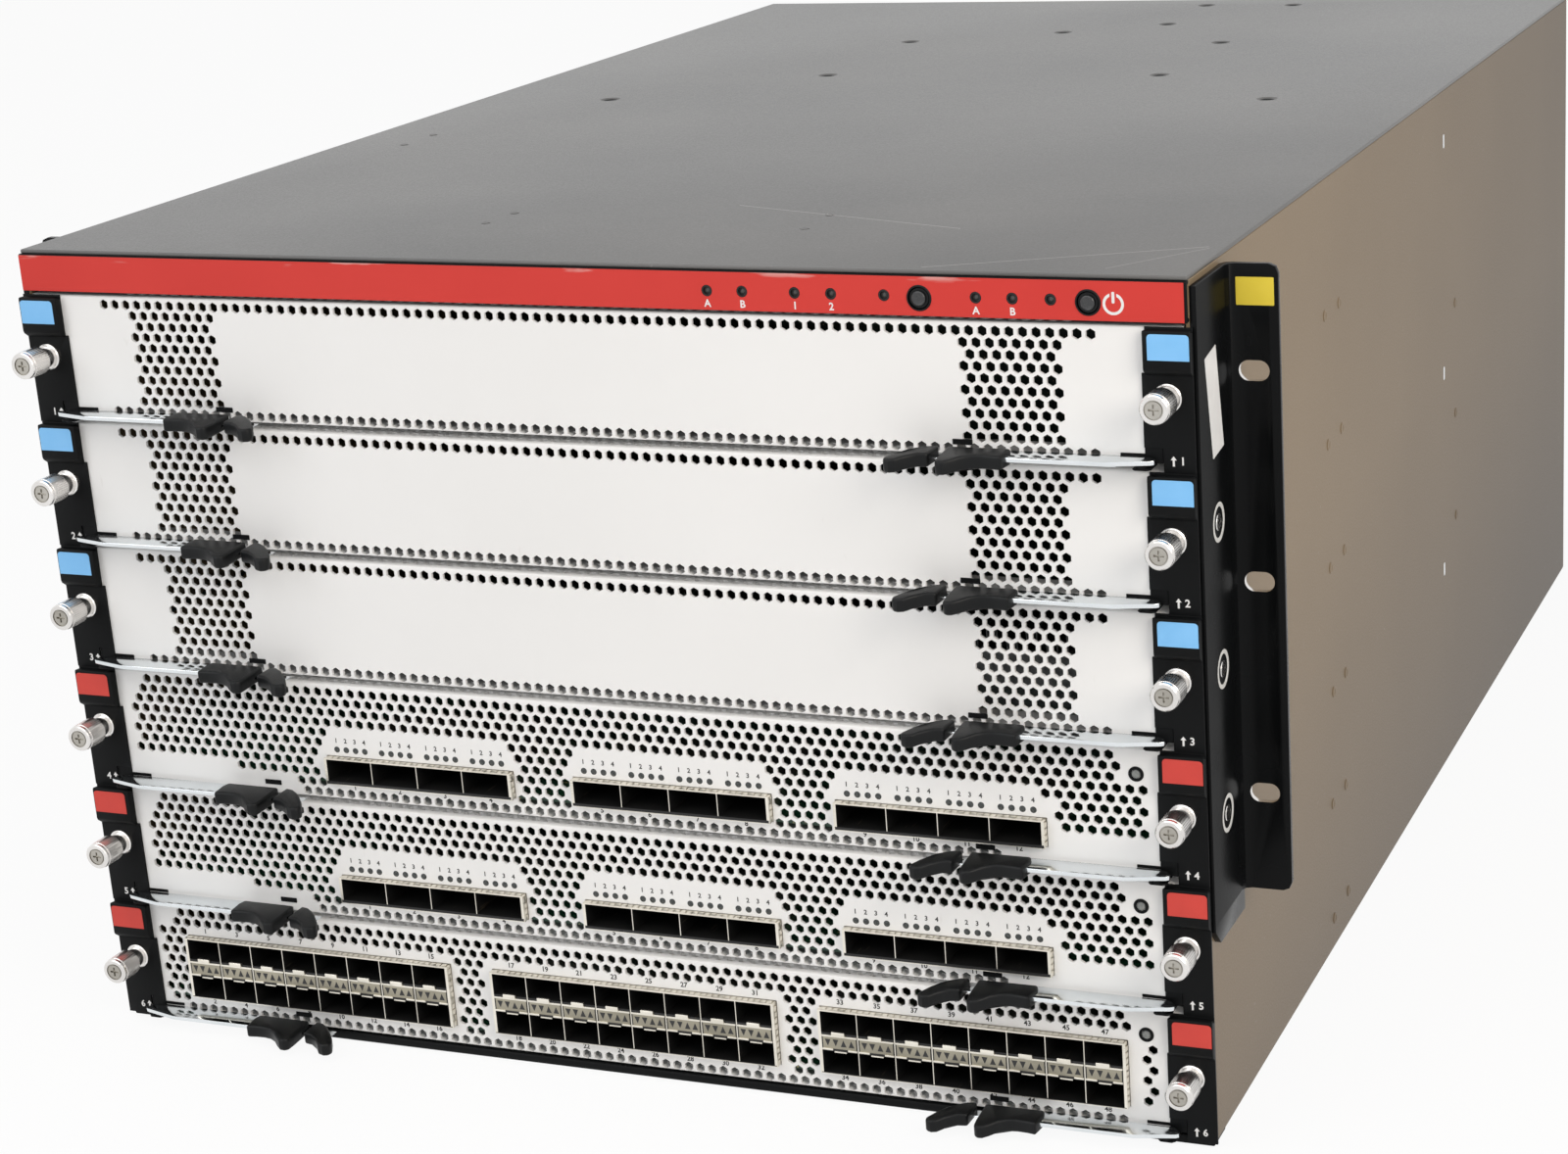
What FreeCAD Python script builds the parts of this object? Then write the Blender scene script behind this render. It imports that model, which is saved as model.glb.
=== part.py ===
"""Seven-unit rack chassis for routing copies of network traffic.

Six cards slide into the front: three blank ones, two with four-way port cages
and one with stacked port cages. X runs to the right, Y to the rear, Z up, and the
origin is at the middle of the bounding box's floor. Lengths are in millimetres.
"""
import FreeCAD, Part
import math
import os
import re
import Sketcher

# Driving dimensions, each with its own cell in the sheet.
SIZES = {
    # chassis
    "chassis_width": 444.0,
    "chassis_height": 307.0,
    "chassis_depth": 680.0,
    "side_wall": 1.5,
    "cover_wall": 1.5,
    "floor_wall": 3.0,
    "fit_gap": 0.3,
    # banner and its controls
    "banner_height": 14.2,
    "banner_wall": 1.5,
    "banner_return": 16.0,
    "button_radius": 3.6,
    "button_proud": 1.6,
    "button_travel": 1.2,
    "button_shoulder": 1.2,
    "alarm_button_x": 131.6,
    "power_button_x": 189.7,
    "control_board_wall": 1.6,
    "control_board_width": 152.0,
    "control_board_end": 10.8,
    "control_board_gap": 0.9,
    # rack ears
    "ear_span": 482.6,
    "ear_wall": 2.2,
    "ear_setback": 37.6,
    "ear_drop": 3.5,
    "ear_flange_height": 221.0,
    "ear_side_drop": 8.0,
    "ear_corner": 6.0,
    "slot_inset": 8.75,
    "slot_drop": 35.9,
    "slot_step_upper": 73.025,
    "slot_step_lower": 76.2,
    "slot_length": 10.5,
    "slot_width": 7.0,
    # cards
    "card_base_gap": 1.4,
    "card_gap": 2.8,
    "banner_gap": 2.3,
    "plate_wall": 1.2,
    "plate_return": 16.0,
    "plate_end_gap": 0.8,
    "hole_across": 3.2,
    "hole_row_half": 184.8,
    "hole_drop": 2.65,
    # end brackets and their screws
    "bracket_width": 16.0,
    "bracket_end_gap": 0.6,
    "bracket_rise": 5.4,
    "bracket_top_gap": 0.2,
    "bracket_wall": 0.9,
    "bracket_tab_height": 15.6,
    "bracket_foot": 9.6,
    "bracket_tab_proud": 3.4,
    "bracket_jog": 2.6,
    "screw_inset": 5.9,
    "screw_drop": 5.55,
    "screw_sleeve_radius": 3.8,
    "screw_sleeve_length": 6.7,
    "screw_knob_radius": 5.0,
    "screw_knob_length": 10.0,
    # levers
    "pivot_inset": 15.0,
    "pivot_reach": 5.2,
    "pin_radius": 2.0,
    "lever_tail": 4.6,
    "lever_nose": 3.9,
    "lever_nose_front": 1.4,
    "lever_heel": 1.0,
    "eye_slack": 0.6,
    "lever_slant": 11.0,
    "lever_wall": 1.2,
    "lever_lift": 2.5,
    "lever_back": 0.8,
    "lever_width": 9.6,
    "lever_tab_wall": 0.9,
    "grip_outer": 44.0,
    "grip_length": 25.0,
    "grip_height": 4.8,
    "grip_base": 0.2,
    "grip_depth": 10.8,
    "grip_hook": 5.6,
    "grip_hook_width": 6.5,
    "strip_wall": 1.0,
    "strip_width": 4.4,
    "strip_outer": 8.0,
    "trigger_gap": 3.2,
    "trigger_length": 15.0,
    "trigger_depth": 9.0,
    "trigger_hook_width": 6.0,
    # four-way cages
    "quad_pitch": 19.05,
    "quad_port_width": 17.4,
    "quad_port_height": 8.6,
    "quad_first": -76.5,
    "quad_step": 102.5,
    # stacked cages
    "stack_pitch": 14.25,
    "stack_port_width": 13.2,
    "stack_port_height": 8.8,
    "stack_bridge": 5.6,
    "stack_first": -131.5,
    "stack_step": 133.0,
    # every cage
    "cage_lift": 7.8,
    "cage_wall": 0.9,
    "cage_proud": 4.5,
    "cage_depth": 52.0,
    "cage_fit": 0.25,
    # boards behind the cards
    "board_wall": 1.6,
    "board_half": 216.0,
    "midplane_gap": 39.5,
    "sink_width": 90.0,
    "sink_length": 70.0,
    "sink_height": 14.0,
    "sink_rear": 150.0,
    "plug_width": 120.0,
    "plug_length": 22.0,
    "plug_height": 12.0,
    "guide_width": 9.0,
    "guide_wall": 1.4,
    # rear half
    "midplane_wall": 3.2,
    "socket_length": 8.0,
    "fan_length": 118.0,
    "fan_guard": 96.0,
    "fan_guard_corner": 26.0,
    "fan_recess": 8.0,
    "supply_length": 220.0,
    "supply_height": 94.0,
    "inlet_width": 28.0,
    "inlet_height": 20.0,
    "inlet_lift": 10.0,
    "inlet_depth": 12.0,
    "bay_gap": 1.0,
}

# Sizes that follow from the driving ones.
DERIVED = {
    "wall_top": "chassis_height - cover_wall",
    "ear_top": "chassis_height - ear_drop",
    "slot_top": "ear_top - slot_drop",
    "slot_span": "ear_span - 2 * slot_inset",
    "inner_half": "chassis_width / 2 - side_wall",
    "banner_floor": "wall_top - banner_height + cover_wall",
    "card_base": "floor_wall + card_base_gap",
    "card_pitch": "(banner_floor + card_gap - banner_gap - card_base) / 6",
    "card_height": "card_pitch - card_gap",
    "plate_half": "inner_half - plate_end_gap",
    "bracket_outer": "chassis_width / 2 - bracket_end_gap",
    "bracket_inner": "bracket_outer - bracket_width",
    "bracket_top": "card_height - bracket_top_gap",
    "jog_floor": "bracket_top - bracket_tab_height",
    "screw_height": "jog_floor - screw_drop",
    "pivot_x": "bracket_outer - pivot_inset",
    "lever_front": "lever_back + lever_width",
    "grip_far": "pivot_x - grip_outer",
    "grip_near": "grip_far - grip_length",
    "strip_floor": "lever_lift - fit_gap - strip_wall",
    "strip_middle": "lever_back + lever_width / 2",
    "trigger_far": "grip_near - trigger_gap",
    "trigger_near": "trigger_far - trigger_length",
    "grip_front": "lever_back + grip_depth",
    "grip_hook_front": "grip_front + grip_hook",
    "trigger_front": "lever_back + trigger_depth",
    "shell_front": "plate_wall + fit_gap",
    "quad_width": "4 * quad_pitch",
    "quad_height": "quad_port_height + 2 * cage_wall",
    "stack_width": "8 * stack_pitch",
    "stack_height": "2 * stack_port_height + stack_bridge + 2 * cage_wall",
    "midplane_front": "chassis_depth - supply_length - midplane_gap - midplane_wall",
    "plug_rear": "midplane_front - socket_length - fit_gap",
    "board_length": "plug_rear - plug_length / 2",
    "supply_top": "floor_wall + supply_height",
    "fan_floor": "supply_top + fit_gap",
    "fan_height": "wall_top - fan_floor - fit_gap",
    "screw_reach": "bracket_wall + screw_sleeve_length + screw_knob_length",
    "front_plane": "(max(grip_hook_front; screw_reach) - chassis_depth) / 2",
}

CARDS = range(1, 7)
STACK_CARD = 6
LIVE_CARDS = (4, 5, 6)
GROUPS = range(3)
FAN_COUNT = 3
SUPPLY_COUNT = 4
HOLES_IN_ROW = 11
KNOB_SIDES = 12
BUTTON_SIDES = 16
EYE_SIDES = 8

doc = FreeCAD.newDocument("rack_chassis")
sheet = doc.addObject("Spreadsheet::Sheet", "dims")
finished = []


def bound(text):
    """An expression on the sheet, written with its bare size names."""
    names = set(SIZES) | set(DERIVED)

    def with_sheet(word):
        return "dims." * (word.group() in names) + word.group()

    return re.sub(r"[a-z_]+[a-z]", with_sheet, text)


def fill_sheet():
    """One row per size: its name, and its number or formula under that alias."""
    for row, (name, value) in enumerate(SIZES.items(), start=1):
        sheet.set(f"A{row}", name)
        sheet.set(f"B{row}", str(value))
        sheet.setAlias(f"B{row}", name)
    for row, (name, formula) in enumerate(DERIVED.items(), start=len(SIZES) + 1):
        sheet.set(f"A{row}", name)
        sheet.set(f"B{row}", "=" + formula)
        sheet.setAlias(f"B{row}", name)
    doc.recompute()


def place(item, x="0", y="front_plane", z="0"):
    """Ties an object's place to the sheet."""
    for axis, formula in (("x", x), ("y", y), ("z", z)):
        item.setExpression(f"Placement.Base.{axis}", bound(formula))


def card_floor(card):
    """The height of a card's lower edge, counted down from the top card."""
    return f"card_base + {6 - card} * card_pitch"


def new_body(label, **where):
    """An empty body with its place on the sheet."""
    body = doc.addObject("PartDesign::Body", label)
    body.Label = label
    place(body, **where)
    return body


def sketch_on(body, plane, start):
    """A sketch on one of the body's own origin planes, moved along that plane's axis."""
    sketch = body.newObject("Sketcher::SketchObject", f"{body.Name}_sketch")
    roles = {feature.Role: feature for feature in body.Origin.OriginFeatures}
    sketch.AttachmentSupport = [(roles[plane + "_Plane"], "")]
    sketch.MapMode = "FlatFace"
    sign = "-" if plane == "XZ" else ""
    sketch.setExpression("AttachmentOffset.Base.z", bound(f"{sign}({start})"))
    return sketch


def tie_point(sketch, geometry, end, across, up):
    """Holds one end of a sketch line or a circle's middle at formulas on the sheet."""
    for kind, formula in (("DistanceX", across), ("DistanceY", up)):
        formula = bound(formula)
        value = sketch.evalExpression(formula)
        number = sketch.addConstraint(Sketcher.Constraint(kind, -1, 1, geometry, end, value))
        sketch.setExpression(f"Constraints[{number}]", formula)


def add_outline(sketch, points):
    """A closed outline of straight lines through points given as formulas."""
    corners = []
    for across, up in points:
        x = sketch.evalExpression(bound(across))
        y = sketch.evalExpression(bound(up))
        corners.append(FreeCAD.Vector(x, y))
    count = len(points)
    first = sketch.GeometryCount
    for number in range(count):
        sketch.addGeometry(Part.LineSegment(corners[number], corners[(number + 1) % count]))
    for number in range(count):
        follower = first + (number + 1) % count
        sketch.addConstraint(Sketcher.Constraint("Coincident", first + number, 2, follower, 1))
    for number, (across, up) in enumerate(points):
        tie_point(sketch, first + number, 1, across, up)


def add_circle(sketch, across, up, radius):
    """A circle whose middle and radius are formulas."""
    middle = FreeCAD.Vector(sketch.evalExpression(bound(across)), sketch.evalExpression(bound(up)))
    value = sketch.evalExpression(bound(radius))
    number = sketch.addGeometry(Part.Circle(middle, FreeCAD.Vector(0, 0, 1), value))
    tie_point(sketch, number, 3, across, up)
    rule = sketch.addConstraint(Sketcher.Constraint("Radius", number, value))
    sketch.setExpression(f"Constraints[{rule}]", bound(radius))


def rectangle(left, low, right, high):
    """The four corners of an upright rectangle."""
    return [(left, low), (right, low), (right, high), (left, high)]


def chamfered(half, up, corner):
    """A square about the sheet's middle line with its corners taken off."""
    low = f"{up} - {half}"
    high = f"{up} + {half}"
    return [
        (f"-{half} + {corner}", low), (f"{half} - {corner}", low), (half, f"{low} + {corner}"),
        (half, f"{high} - {corner}"), (f"{half} - {corner}", high), (f"-{half} + {corner}", high),
        (f"-{half}", f"{high} - {corner}"), (f"-{half}", f"{low} + {corner}"),
    ]


def hexagon(across, up, flats):
    """Six corners of a hole that stands on a point."""
    tall = f"({flats}) / sqrt(3)"
    side = f"({flats}) / 2"
    return [
        (across, f"{up} + {tall}"),
        (f"{across} - {side}", f"{up} + {tall} / 2"),
        (f"{across} - {side}", f"{up} - {tall} / 2"),
        (across, f"{up} - {tall}"),
        (f"{across} + {side}", f"{up} - {tall} / 2"),
        (f"{across} + {side}", f"{up} + {tall} / 2"),
    ]


def rounded(count, across, up, radius):
    """The corners of an even polygon that stands in for a small round."""
    corners = []
    for number in range(count):
        turn = 2 * math.pi * (number + 0.5) / count
        x = f"{across} + {radius} * {math.cos(turn):.6f}"
        y = f"{up} + {radius} * {math.sin(turn):.6f}"
        corners.append((x, y))
    return corners


def add_pad(body, sketch, length):
    """A pad towards the rear, the top or the right."""
    pad = body.newObject("PartDesign::Pad", f"{body.Name}_pad")
    pad.Profile = sketch
    pad.Reversed = sketch.AttachmentSupport[0][0].Role == "XZ_Plane"
    pad.setExpression("Length", bound(length))
    return pad


def add_cut(body, sketch, depth):
    """A pocket towards the rear, the top or the right."""
    cut = body.newObject("PartDesign::Pocket", f"{body.Name}_cut")
    cut.Profile = sketch
    cut.Reversed = sketch.AttachmentSupport[0][0].Role != "XZ_Plane"
    cut.setExpression("Length", bound(depth))
    return cut


def pad_outline(body, plane, points, start, length):
    """An outline drawn on a plane and padded."""
    sketch = sketch_on(body, plane, start)
    add_outline(sketch, points)
    return add_pad(body, sketch, length)


def cut_outline(body, plane, points, start, depth):
    """An outline drawn on a plane and cut away."""
    sketch = sketch_on(body, plane, start)
    add_outline(sketch, points)
    return add_cut(body, sketch, depth)


def pad_circle(body, plane, across, up, radius, start, length):
    """A round boss."""
    sketch = sketch_on(body, plane, start)
    add_circle(sketch, across, up, radius)
    return add_pad(body, sketch, length)


def cut_circle(body, plane, across, up, radius, start, depth):
    """A round hole."""
    sketch = sketch_on(body, plane, start)
    add_circle(sketch, across, up, radius)
    return add_cut(body, sketch, depth)


def repeat(body, feature, axis, length, count):
    """A row of copies of one feature along its sketch's own axis."""
    row = body.newObject("PartDesign::LinearPattern", f"{body.Name}_row")
    row.Originals = [feature]
    row.Direction = (feature.Profile[0], [axis])
    row.setExpression("Length", bound(length))
    row.Occurrences = count
    body.Tip = row
    return row


def mirrored(item, label):
    """The same piece for the other side."""
    other = doc.addObject("Part::Mirroring", label)
    other.Label = label
    other.Source = item
    other.Normal = FreeCAD.Vector(1, 0, 0)
    return other


def grouped(label, items):
    """Several solids that share one node."""
    group = doc.addObject("Part::Compound", label)
    group.Label = label
    group.Links = items
    finished.append(group)
    return group


# chassis


def make_shell():
    """The folded tray: floor and both sides."""
    shell = new_body("chassis_shell")
    half = "chassis_width / 2"
    section = [
        (f"-{half}", "0"), (half, "0"), (half, "wall_top"), ("inner_half", "wall_top"),
        ("inner_half", "floor_wall"), ("-inner_half", "floor_wall"), ("-inner_half", "wall_top"),
        (f"-{half}", "wall_top"),
    ]
    pad_outline(shell, "XZ", section, "shell_front", "chassis_depth - shell_front")
    finished.append(shell)


def make_cover():
    """The lid, which lies on the side walls and over the banner."""
    cover = new_body("top_cover", z="wall_top")
    half = "chassis_width / 2"
    pad_outline(cover, "XY", rectangle(f"-{half}", "0", half, "chassis_depth"), "0", "cover_wall")
    finished.append(cover)


def make_banner():
    """The channel above the cards, with holes for its two buttons."""
    banner = new_body("front_banner", z="banner_floor")
    tall = "banner_height - cover_wall"
    wall = "banner_wall"
    section = [
        ("0", "0"), ("banner_return", "0"), ("banner_return", wall), (wall, wall),
        (wall, f"{tall} - {wall}"), ("banner_return", f"{tall} - {wall}"),
        ("banner_return", tall), ("0", tall),
    ]
    pad_outline(banner, "YZ", section, "-inner_half + fit_gap", "2 * (inner_half - fit_gap)")
    half = "chassis_width / 2"
    front = "shell_front - fit_gap"
    pad_outline(banner, "XZ", rectangle(f"-{half}", "0", half, tall), "0", front)
    for button in ("alarm_button_x", "power_button_x"):
        hole = rounded(BUTTON_SIDES, button, f"({tall}) / 2", "(button_radius + fit_gap)")
        cut_outline(banner, "XZ", hole, "0", wall)
    finished.append(banner)


def make_button(label, across):
    """A push button with a shoulder behind the banner's wall."""
    button = new_body(label, x=across, z="banner_floor + (banner_height - cover_wall) / 2")
    length = "button_proud + banner_wall + fit_gap"
    barrel = rounded(BUTTON_SIDES, "0", "0", "button_radius")
    pad_outline(button, "XZ", barrel, "-button_proud", length)
    shoulder = rounded(KNOB_SIDES, "0", "0", "(button_radius + button_shoulder)")
    pad_outline(button, "XZ", shoulder, "banner_wall + fit_gap", "button_travel")
    finished.append(button)


def make_control_board():
    """The board behind the banner that carries the lamps and switches."""
    board = new_body("control_board", z="banner_floor + banner_wall")
    right = "power_button_x + control_board_end"
    tall = "banner_height - cover_wall - 2 * banner_wall"
    back = "banner_wall + 2 * button_travel + control_board_gap"
    shape = rectangle(f"{right} - control_board_width", "0", right, tall)
    pad_outline(board, "XZ", shape, back, "control_board_wall")
    finished.append(board)


def make_ears():
    """The right rack ear and its mirror image: a side plate with a slotted front flange."""
    ear = new_body("rack_ear_right", z="ear_top - ear_flange_height")
    side = "chassis_width / 2"
    rear = "ear_setback + ear_wall"
    plate = [
        ("shell_front", "-ear_side_drop + ear_corner"), ("shell_front + ear_corner", "-ear_side_drop"),
        (rear, "-ear_side_drop"), (rear, "ear_flange_height"), ("shell_front", "ear_flange_height"),
    ]
    pad_outline(ear, "YZ", plate, side, "ear_wall")
    flange = rectangle(side, "0", "ear_span / 2", "ear_flange_height")
    pad_outline(ear, "XZ", flange, "ear_setback", "ear_wall")
    heights = ("slot_top", "slot_top - slot_step_upper", "slot_top - slot_step_upper - slot_step_lower")
    for height in heights:
        middle = f"{height} - ear_top + ear_flange_height"
        straight = "(slot_length - slot_width) / 2"
        left = f"slot_span / 2 - {straight}"
        right = f"slot_span / 2 + {straight}"
        low = f"{middle} - slot_width / 2"
        high = f"{middle} + slot_width / 2"
        cut_outline(ear, "XZ", rectangle(left, low, right, high), "ear_setback", "ear_wall")
        for end in (left, right):
            cut_circle(ear, "XZ", end, middle, "slot_width / 2", "ear_setback", "ear_wall")
    finished.append(ear)
    finished.append(mirrored(ear, "rack_ear_left"))


# cards


def make_faceplate(card):
    """A folded card front with a perforated row, port cut-outs and a seat under each lever."""
    plate = new_body(f"plate_{card}", z=card_floor(card))
    wall = "plate_wall"
    section = [
        ("0", "0"), ("plate_return", "0"), ("plate_return", wall), (wall, wall),
        (wall, f"card_height - {wall}"), ("plate_return", f"card_height - {wall}"),
        ("plate_return", "card_height"), ("0", "card_height"),
    ]
    pad_outline(plate, "YZ", section, "-plate_half", "2 * plate_half")
    first = hexagon("-hole_row_half", "card_height - hole_drop", "hole_across")
    hole = cut_outline(plate, "XZ", first, "0", wall)
    repeat(plate, hole, "H_Axis", "2 * hole_row_half", HOLES_IN_ROW)
    if card in LIVE_CARDS:
        kind = "stack" if card == STACK_CARD else "quad"
        cut_cages(plate, kind)
    seat = make_seat(card)
    grouped(f"faceplate_{card}", [plate, seat, mirrored(seat, f"seat_left_{card}")])


def make_seat(card):
    """The tab that carries the right lever, with the pin that the lever turns on."""
    seat = new_body(f"seat_right_{card}", z=card_floor(card))
    inner = "pivot_x - lever_tail"
    outer = "pivot_x + lever_tail"
    tab = rectangle(inner, "-pivot_reach - lever_tail", outer, "0")
    pad_outline(seat, "XY", tab, "0", "lever_tab_wall")
    pin_top = "lever_lift + lever_wall - lever_tab_wall"
    pad_circle(seat, "XY", "pivot_x", "-pivot_reach", "pin_radius", "lever_tab_wall", pin_top)
    return seat


def cut_cages(plate, kind):
    """Clear openings for three cages in a faceplate."""
    for group in GROUPS:
        middle = f"{kind}_first + {group} * {kind}_step"
        half = f"({kind}_width / 2 + cage_wall + cage_fit)"
        low = "cage_lift - cage_fit"
        high = f"cage_lift + {kind}_height + cage_fit"
        shape = rectangle(f"{middle} - {half}", low, f"{middle} + {half}", high)
        cut_outline(plate, "XZ", shape, "0", "plate_wall")


def make_brackets(card):
    """The pair of black end brackets: a proud tab, a recess for the screw and an outer foot."""
    bracket = new_body(f"bracket_right_{card}", z=card_floor(card))
    section = [
        ("0", "bracket_rise"), ("0", "bracket_top"), ("-bracket_tab_proud", "bracket_top"),
        ("-bracket_tab_proud", "jog_floor + bracket_jog"), ("-bracket_wall", "jog_floor"),
        ("-bracket_wall", "bracket_rise"),
    ]
    pad_outline(bracket, "YZ", section, "bracket_inner", "bracket_width")
    foot = rectangle("bracket_outer - bracket_foot", "0", "bracket_outer", "bracket_rise")
    pad_outline(bracket, "XZ", foot, "-bracket_wall", "bracket_wall")
    grouped(f"card_brackets_{card}", [bracket, mirrored(bracket, f"bracket_left_{card}")])


def make_thumbscrews(card):
    """The pair of captive screws: a knurled knob on a sleeve."""
    where = f"{card_floor(card)} + screw_height"
    screw = new_body(f"thumbscrew_right_{card}", x="bracket_outer - screw_inset", z=where)
    sleeve = rounded(KNOB_SIDES, "0", "0", "screw_sleeve_radius")
    pad_outline(screw, "XZ", sleeve, "-bracket_wall - screw_sleeve_length", "screw_sleeve_length")
    knob = rounded(KNOB_SIDES, "0", "0", "screw_knob_radius")
    front = "-bracket_wall - screw_sleeve_length - screw_knob_length"
    pad_outline(screw, "XZ", knob, front, "screw_knob_length")
    grouped(f"thumbscrews_{card}", [screw, mirrored(screw, f"thumbscrew_left_{card}")])


def make_lever(card):
    """A card's right lever: a steel bar with a moulded grip over its inner end."""
    floor = card_floor(card)
    bar = new_body(f"lever_bar_{card}", z=floor)
    outline = [
        ("grip_near + grip_hook_width", "-lever_front"), ("pivot_x - lever_slant", "-lever_front"),
        ("pivot_x + lever_nose", "-pivot_reach - lever_nose_front"),
        ("pivot_x + lever_nose", "-pivot_reach"), ("pivot_x + lever_heel", "-lever_back"),
        ("grip_near + grip_hook_width", "-lever_back"),
    ]
    pad_outline(bar, "XY", outline, "lever_lift", "lever_wall")
    eye = rounded(EYE_SIDES, "pivot_x", "-pivot_reach", "(pin_radius + eye_slack)")
    cut_outline(bar, "XY", eye, "lever_lift", "lever_wall")
    grip = new_body(f"lever_grip_{card}", z=floor)
    hooked = [
        ("grip_near", "-lever_back"), ("grip_near", "-grip_hook_front"),
        ("grip_near + grip_hook_width", "-grip_hook_front"),
        ("grip_near + grip_hook_width + grip_hook", "-grip_front"),
        ("grip_far", "-grip_front"), ("grip_far", "-lever_back"),
    ]
    pad_outline(grip, "XY", hooked, "grip_base", "grip_height")
    half = "(strip_width / 2 + fit_gap)"
    channel = rectangle("grip_near", f"-strip_middle - {half}", "grip_far", f"-strip_middle + {half}")
    cut_outline(grip, "XY", channel, "strip_floor - fit_gap", "strip_wall + 2 * fit_gap")
    seated = doc.addObject("Part::Cut", f"lever_grip_seated_{card}")
    seated.Base = grip
    seated.Tool = bar
    lever = grouped(f"lever_right_{card}", [bar, seated])
    finished.append(mirrored(lever, f"lever_left_{card}"))


def make_trigger(card):
    """A card's right trigger: a finger piece on the latch strip that slides under the lever."""
    floor = card_floor(card)
    strip = new_body(f"latch_strip_{card}", z=floor)
    low = "-strip_middle - strip_width / 2"
    high = "-strip_middle + strip_width / 2"
    near = "trigger_near + trigger_hook_width"
    far = "pivot_x - strip_outer"
    pad_outline(strip, "XY", rectangle(near, low, far, high), "strip_floor", "strip_wall")
    finger = new_body(f"trigger_finger_{card}", z=floor)
    hooked = [
        ("trigger_near", "-lever_back"), ("trigger_near", "-grip_hook_front"),
        ("trigger_near + trigger_hook_width", "-grip_hook_front"),
        ("trigger_near + trigger_hook_width + grip_hook / 2", "-trigger_front"),
        ("trigger_far", "-trigger_front"), ("trigger_far", "-lever_back"),
    ]
    pad_outline(finger, "XY", hooked, "grip_base", "grip_height")
    seated = doc.addObject("Part::Cut", f"trigger_seated_{card}")
    seated.Base = finger
    seated.Tool = strip
    trigger = grouped(f"trigger_right_{card}", [strip, seated])
    finished.append(mirrored(trigger, f"trigger_left_{card}"))


def make_cages(card):
    """Three metal port cages, open at the front."""
    kind = "stack" if card == STACK_CARD else "quad"
    columns = 8 if kind == "stack" else 4
    pitch = f"{kind}_pitch"
    cages = []
    for group in GROUPS:
        where = f"{kind}_first + {group} * {kind}_step"
        cage = new_body(f"cage_{card}_{group + 1}", x=where, z=f"{card_floor(card)} + cage_lift")
        half = f"{kind}_width / 2"
        box = rectangle(f"-{half} - cage_wall", "0", f"{half} + cage_wall", f"{kind}_height")
        pad_outline(cage, "XZ", box, "-cage_proud", "cage_proud + cage_depth")
        rows = ["cage_wall"]
        if kind == "stack":
            rows.append("cage_wall + stack_port_height + stack_bridge")
        for low in rows:
            left = f"-{half} + ({pitch} - {kind}_port_width) / 2"
            port = rectangle(left, low, f"{left} + {kind}_port_width", f"{low} + {kind}_port_height")
            hole = cut_outline(cage, "XZ", port, "-cage_proud", "cage_proud + cage_depth - cage_wall")
            repeat(cage, hole, "H_Axis", f"{columns - 1} * {pitch}", columns)
        cages.append(cage)
    grouped(f"port_cages_{card}", cages)


def make_board(card):
    """A live card's circuit board with its heat sinks and rear plugs."""
    floor = f"{card_floor(card)} + cage_lift"
    board = new_body(f"circuit_{card}", z=floor)
    kind = "stack" if card == STACK_CARD else "quad"
    outline = rectangle("-board_half", "plate_wall", "board_half", "board_length")
    pad_outline(board, "XY", outline, "-board_wall", "board_wall")
    pieces = [board]
    for group in GROUPS:
        middle = f"{kind}_first + {group} * {kind}_step"
        sink = new_body(f"heat_sink_{card}_{group + 1}", x=middle, z=floor)
        outline = rectangle("-sink_width / 2", "sink_rear", "sink_width / 2", "sink_rear + sink_length")
        pad_outline(sink, "XY", outline, "0", "sink_height")
        pieces.append(sink)
    for side in (-1, 1):
        plug = new_body(f"plug_{card}_{'right' if side > 0 else 'left'}", x=f"{side} * plug_width", z=floor)
        outline = rectangle("-plug_width / 2", "plug_rear - plug_length", "plug_width / 2", "plug_rear")
        pad_outline(plug, "XY", outline, "0", "plug_height")
        pieces.append(plug)
    grouped(f"board_{card}", pieces)


# inside and rear


def make_guides():
    """Ledges on both side walls under each card's edge."""
    guides = []
    for card in CARDS:
        low = "cage_lift - board_wall - fit_gap - guide_wall"
        guide = new_body(f"guide_right_{card}", z=f"{card_floor(card)} + {low}")
        inner = "inner_half - guide_width"
        ledge = rectangle(inner, "plate_return + fit_gap", "inner_half", "board_length")
        pad_outline(guide, "XY", ledge, "0", "guide_wall")
        guides.append(guide)
        guides.append(mirrored(guide, f"guide_left_{card}"))
    grouped("card_guides", guides)


def make_midplane():
    """The upright board that joins the cards, with a pair of sockets for each slot."""
    midplane = new_body("midplane")
    half = "(inner_half - fit_gap)"
    panel = rectangle(f"-{half}", "floor_wall", half, "wall_top - fit_gap")
    pad_outline(midplane, "XZ", panel, "midplane_front", "midplane_wall")
    for side in ("-", ""):
        middle = f"{side}plug_width"
        lowest = f"{card_floor(6)} + cage_lift"
        left = f"{middle} - plug_width / 2"
        right = f"{middle} + plug_width / 2"
        socket = rectangle(left, lowest, right, f"{lowest} + plug_height")
        pad = pad_outline(midplane, "XZ", socket, "midplane_front - socket_length", "socket_length")
        repeat(midplane, pad, "V_Axis", "5 * card_pitch", 6)
    finished.append(midplane)


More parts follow.
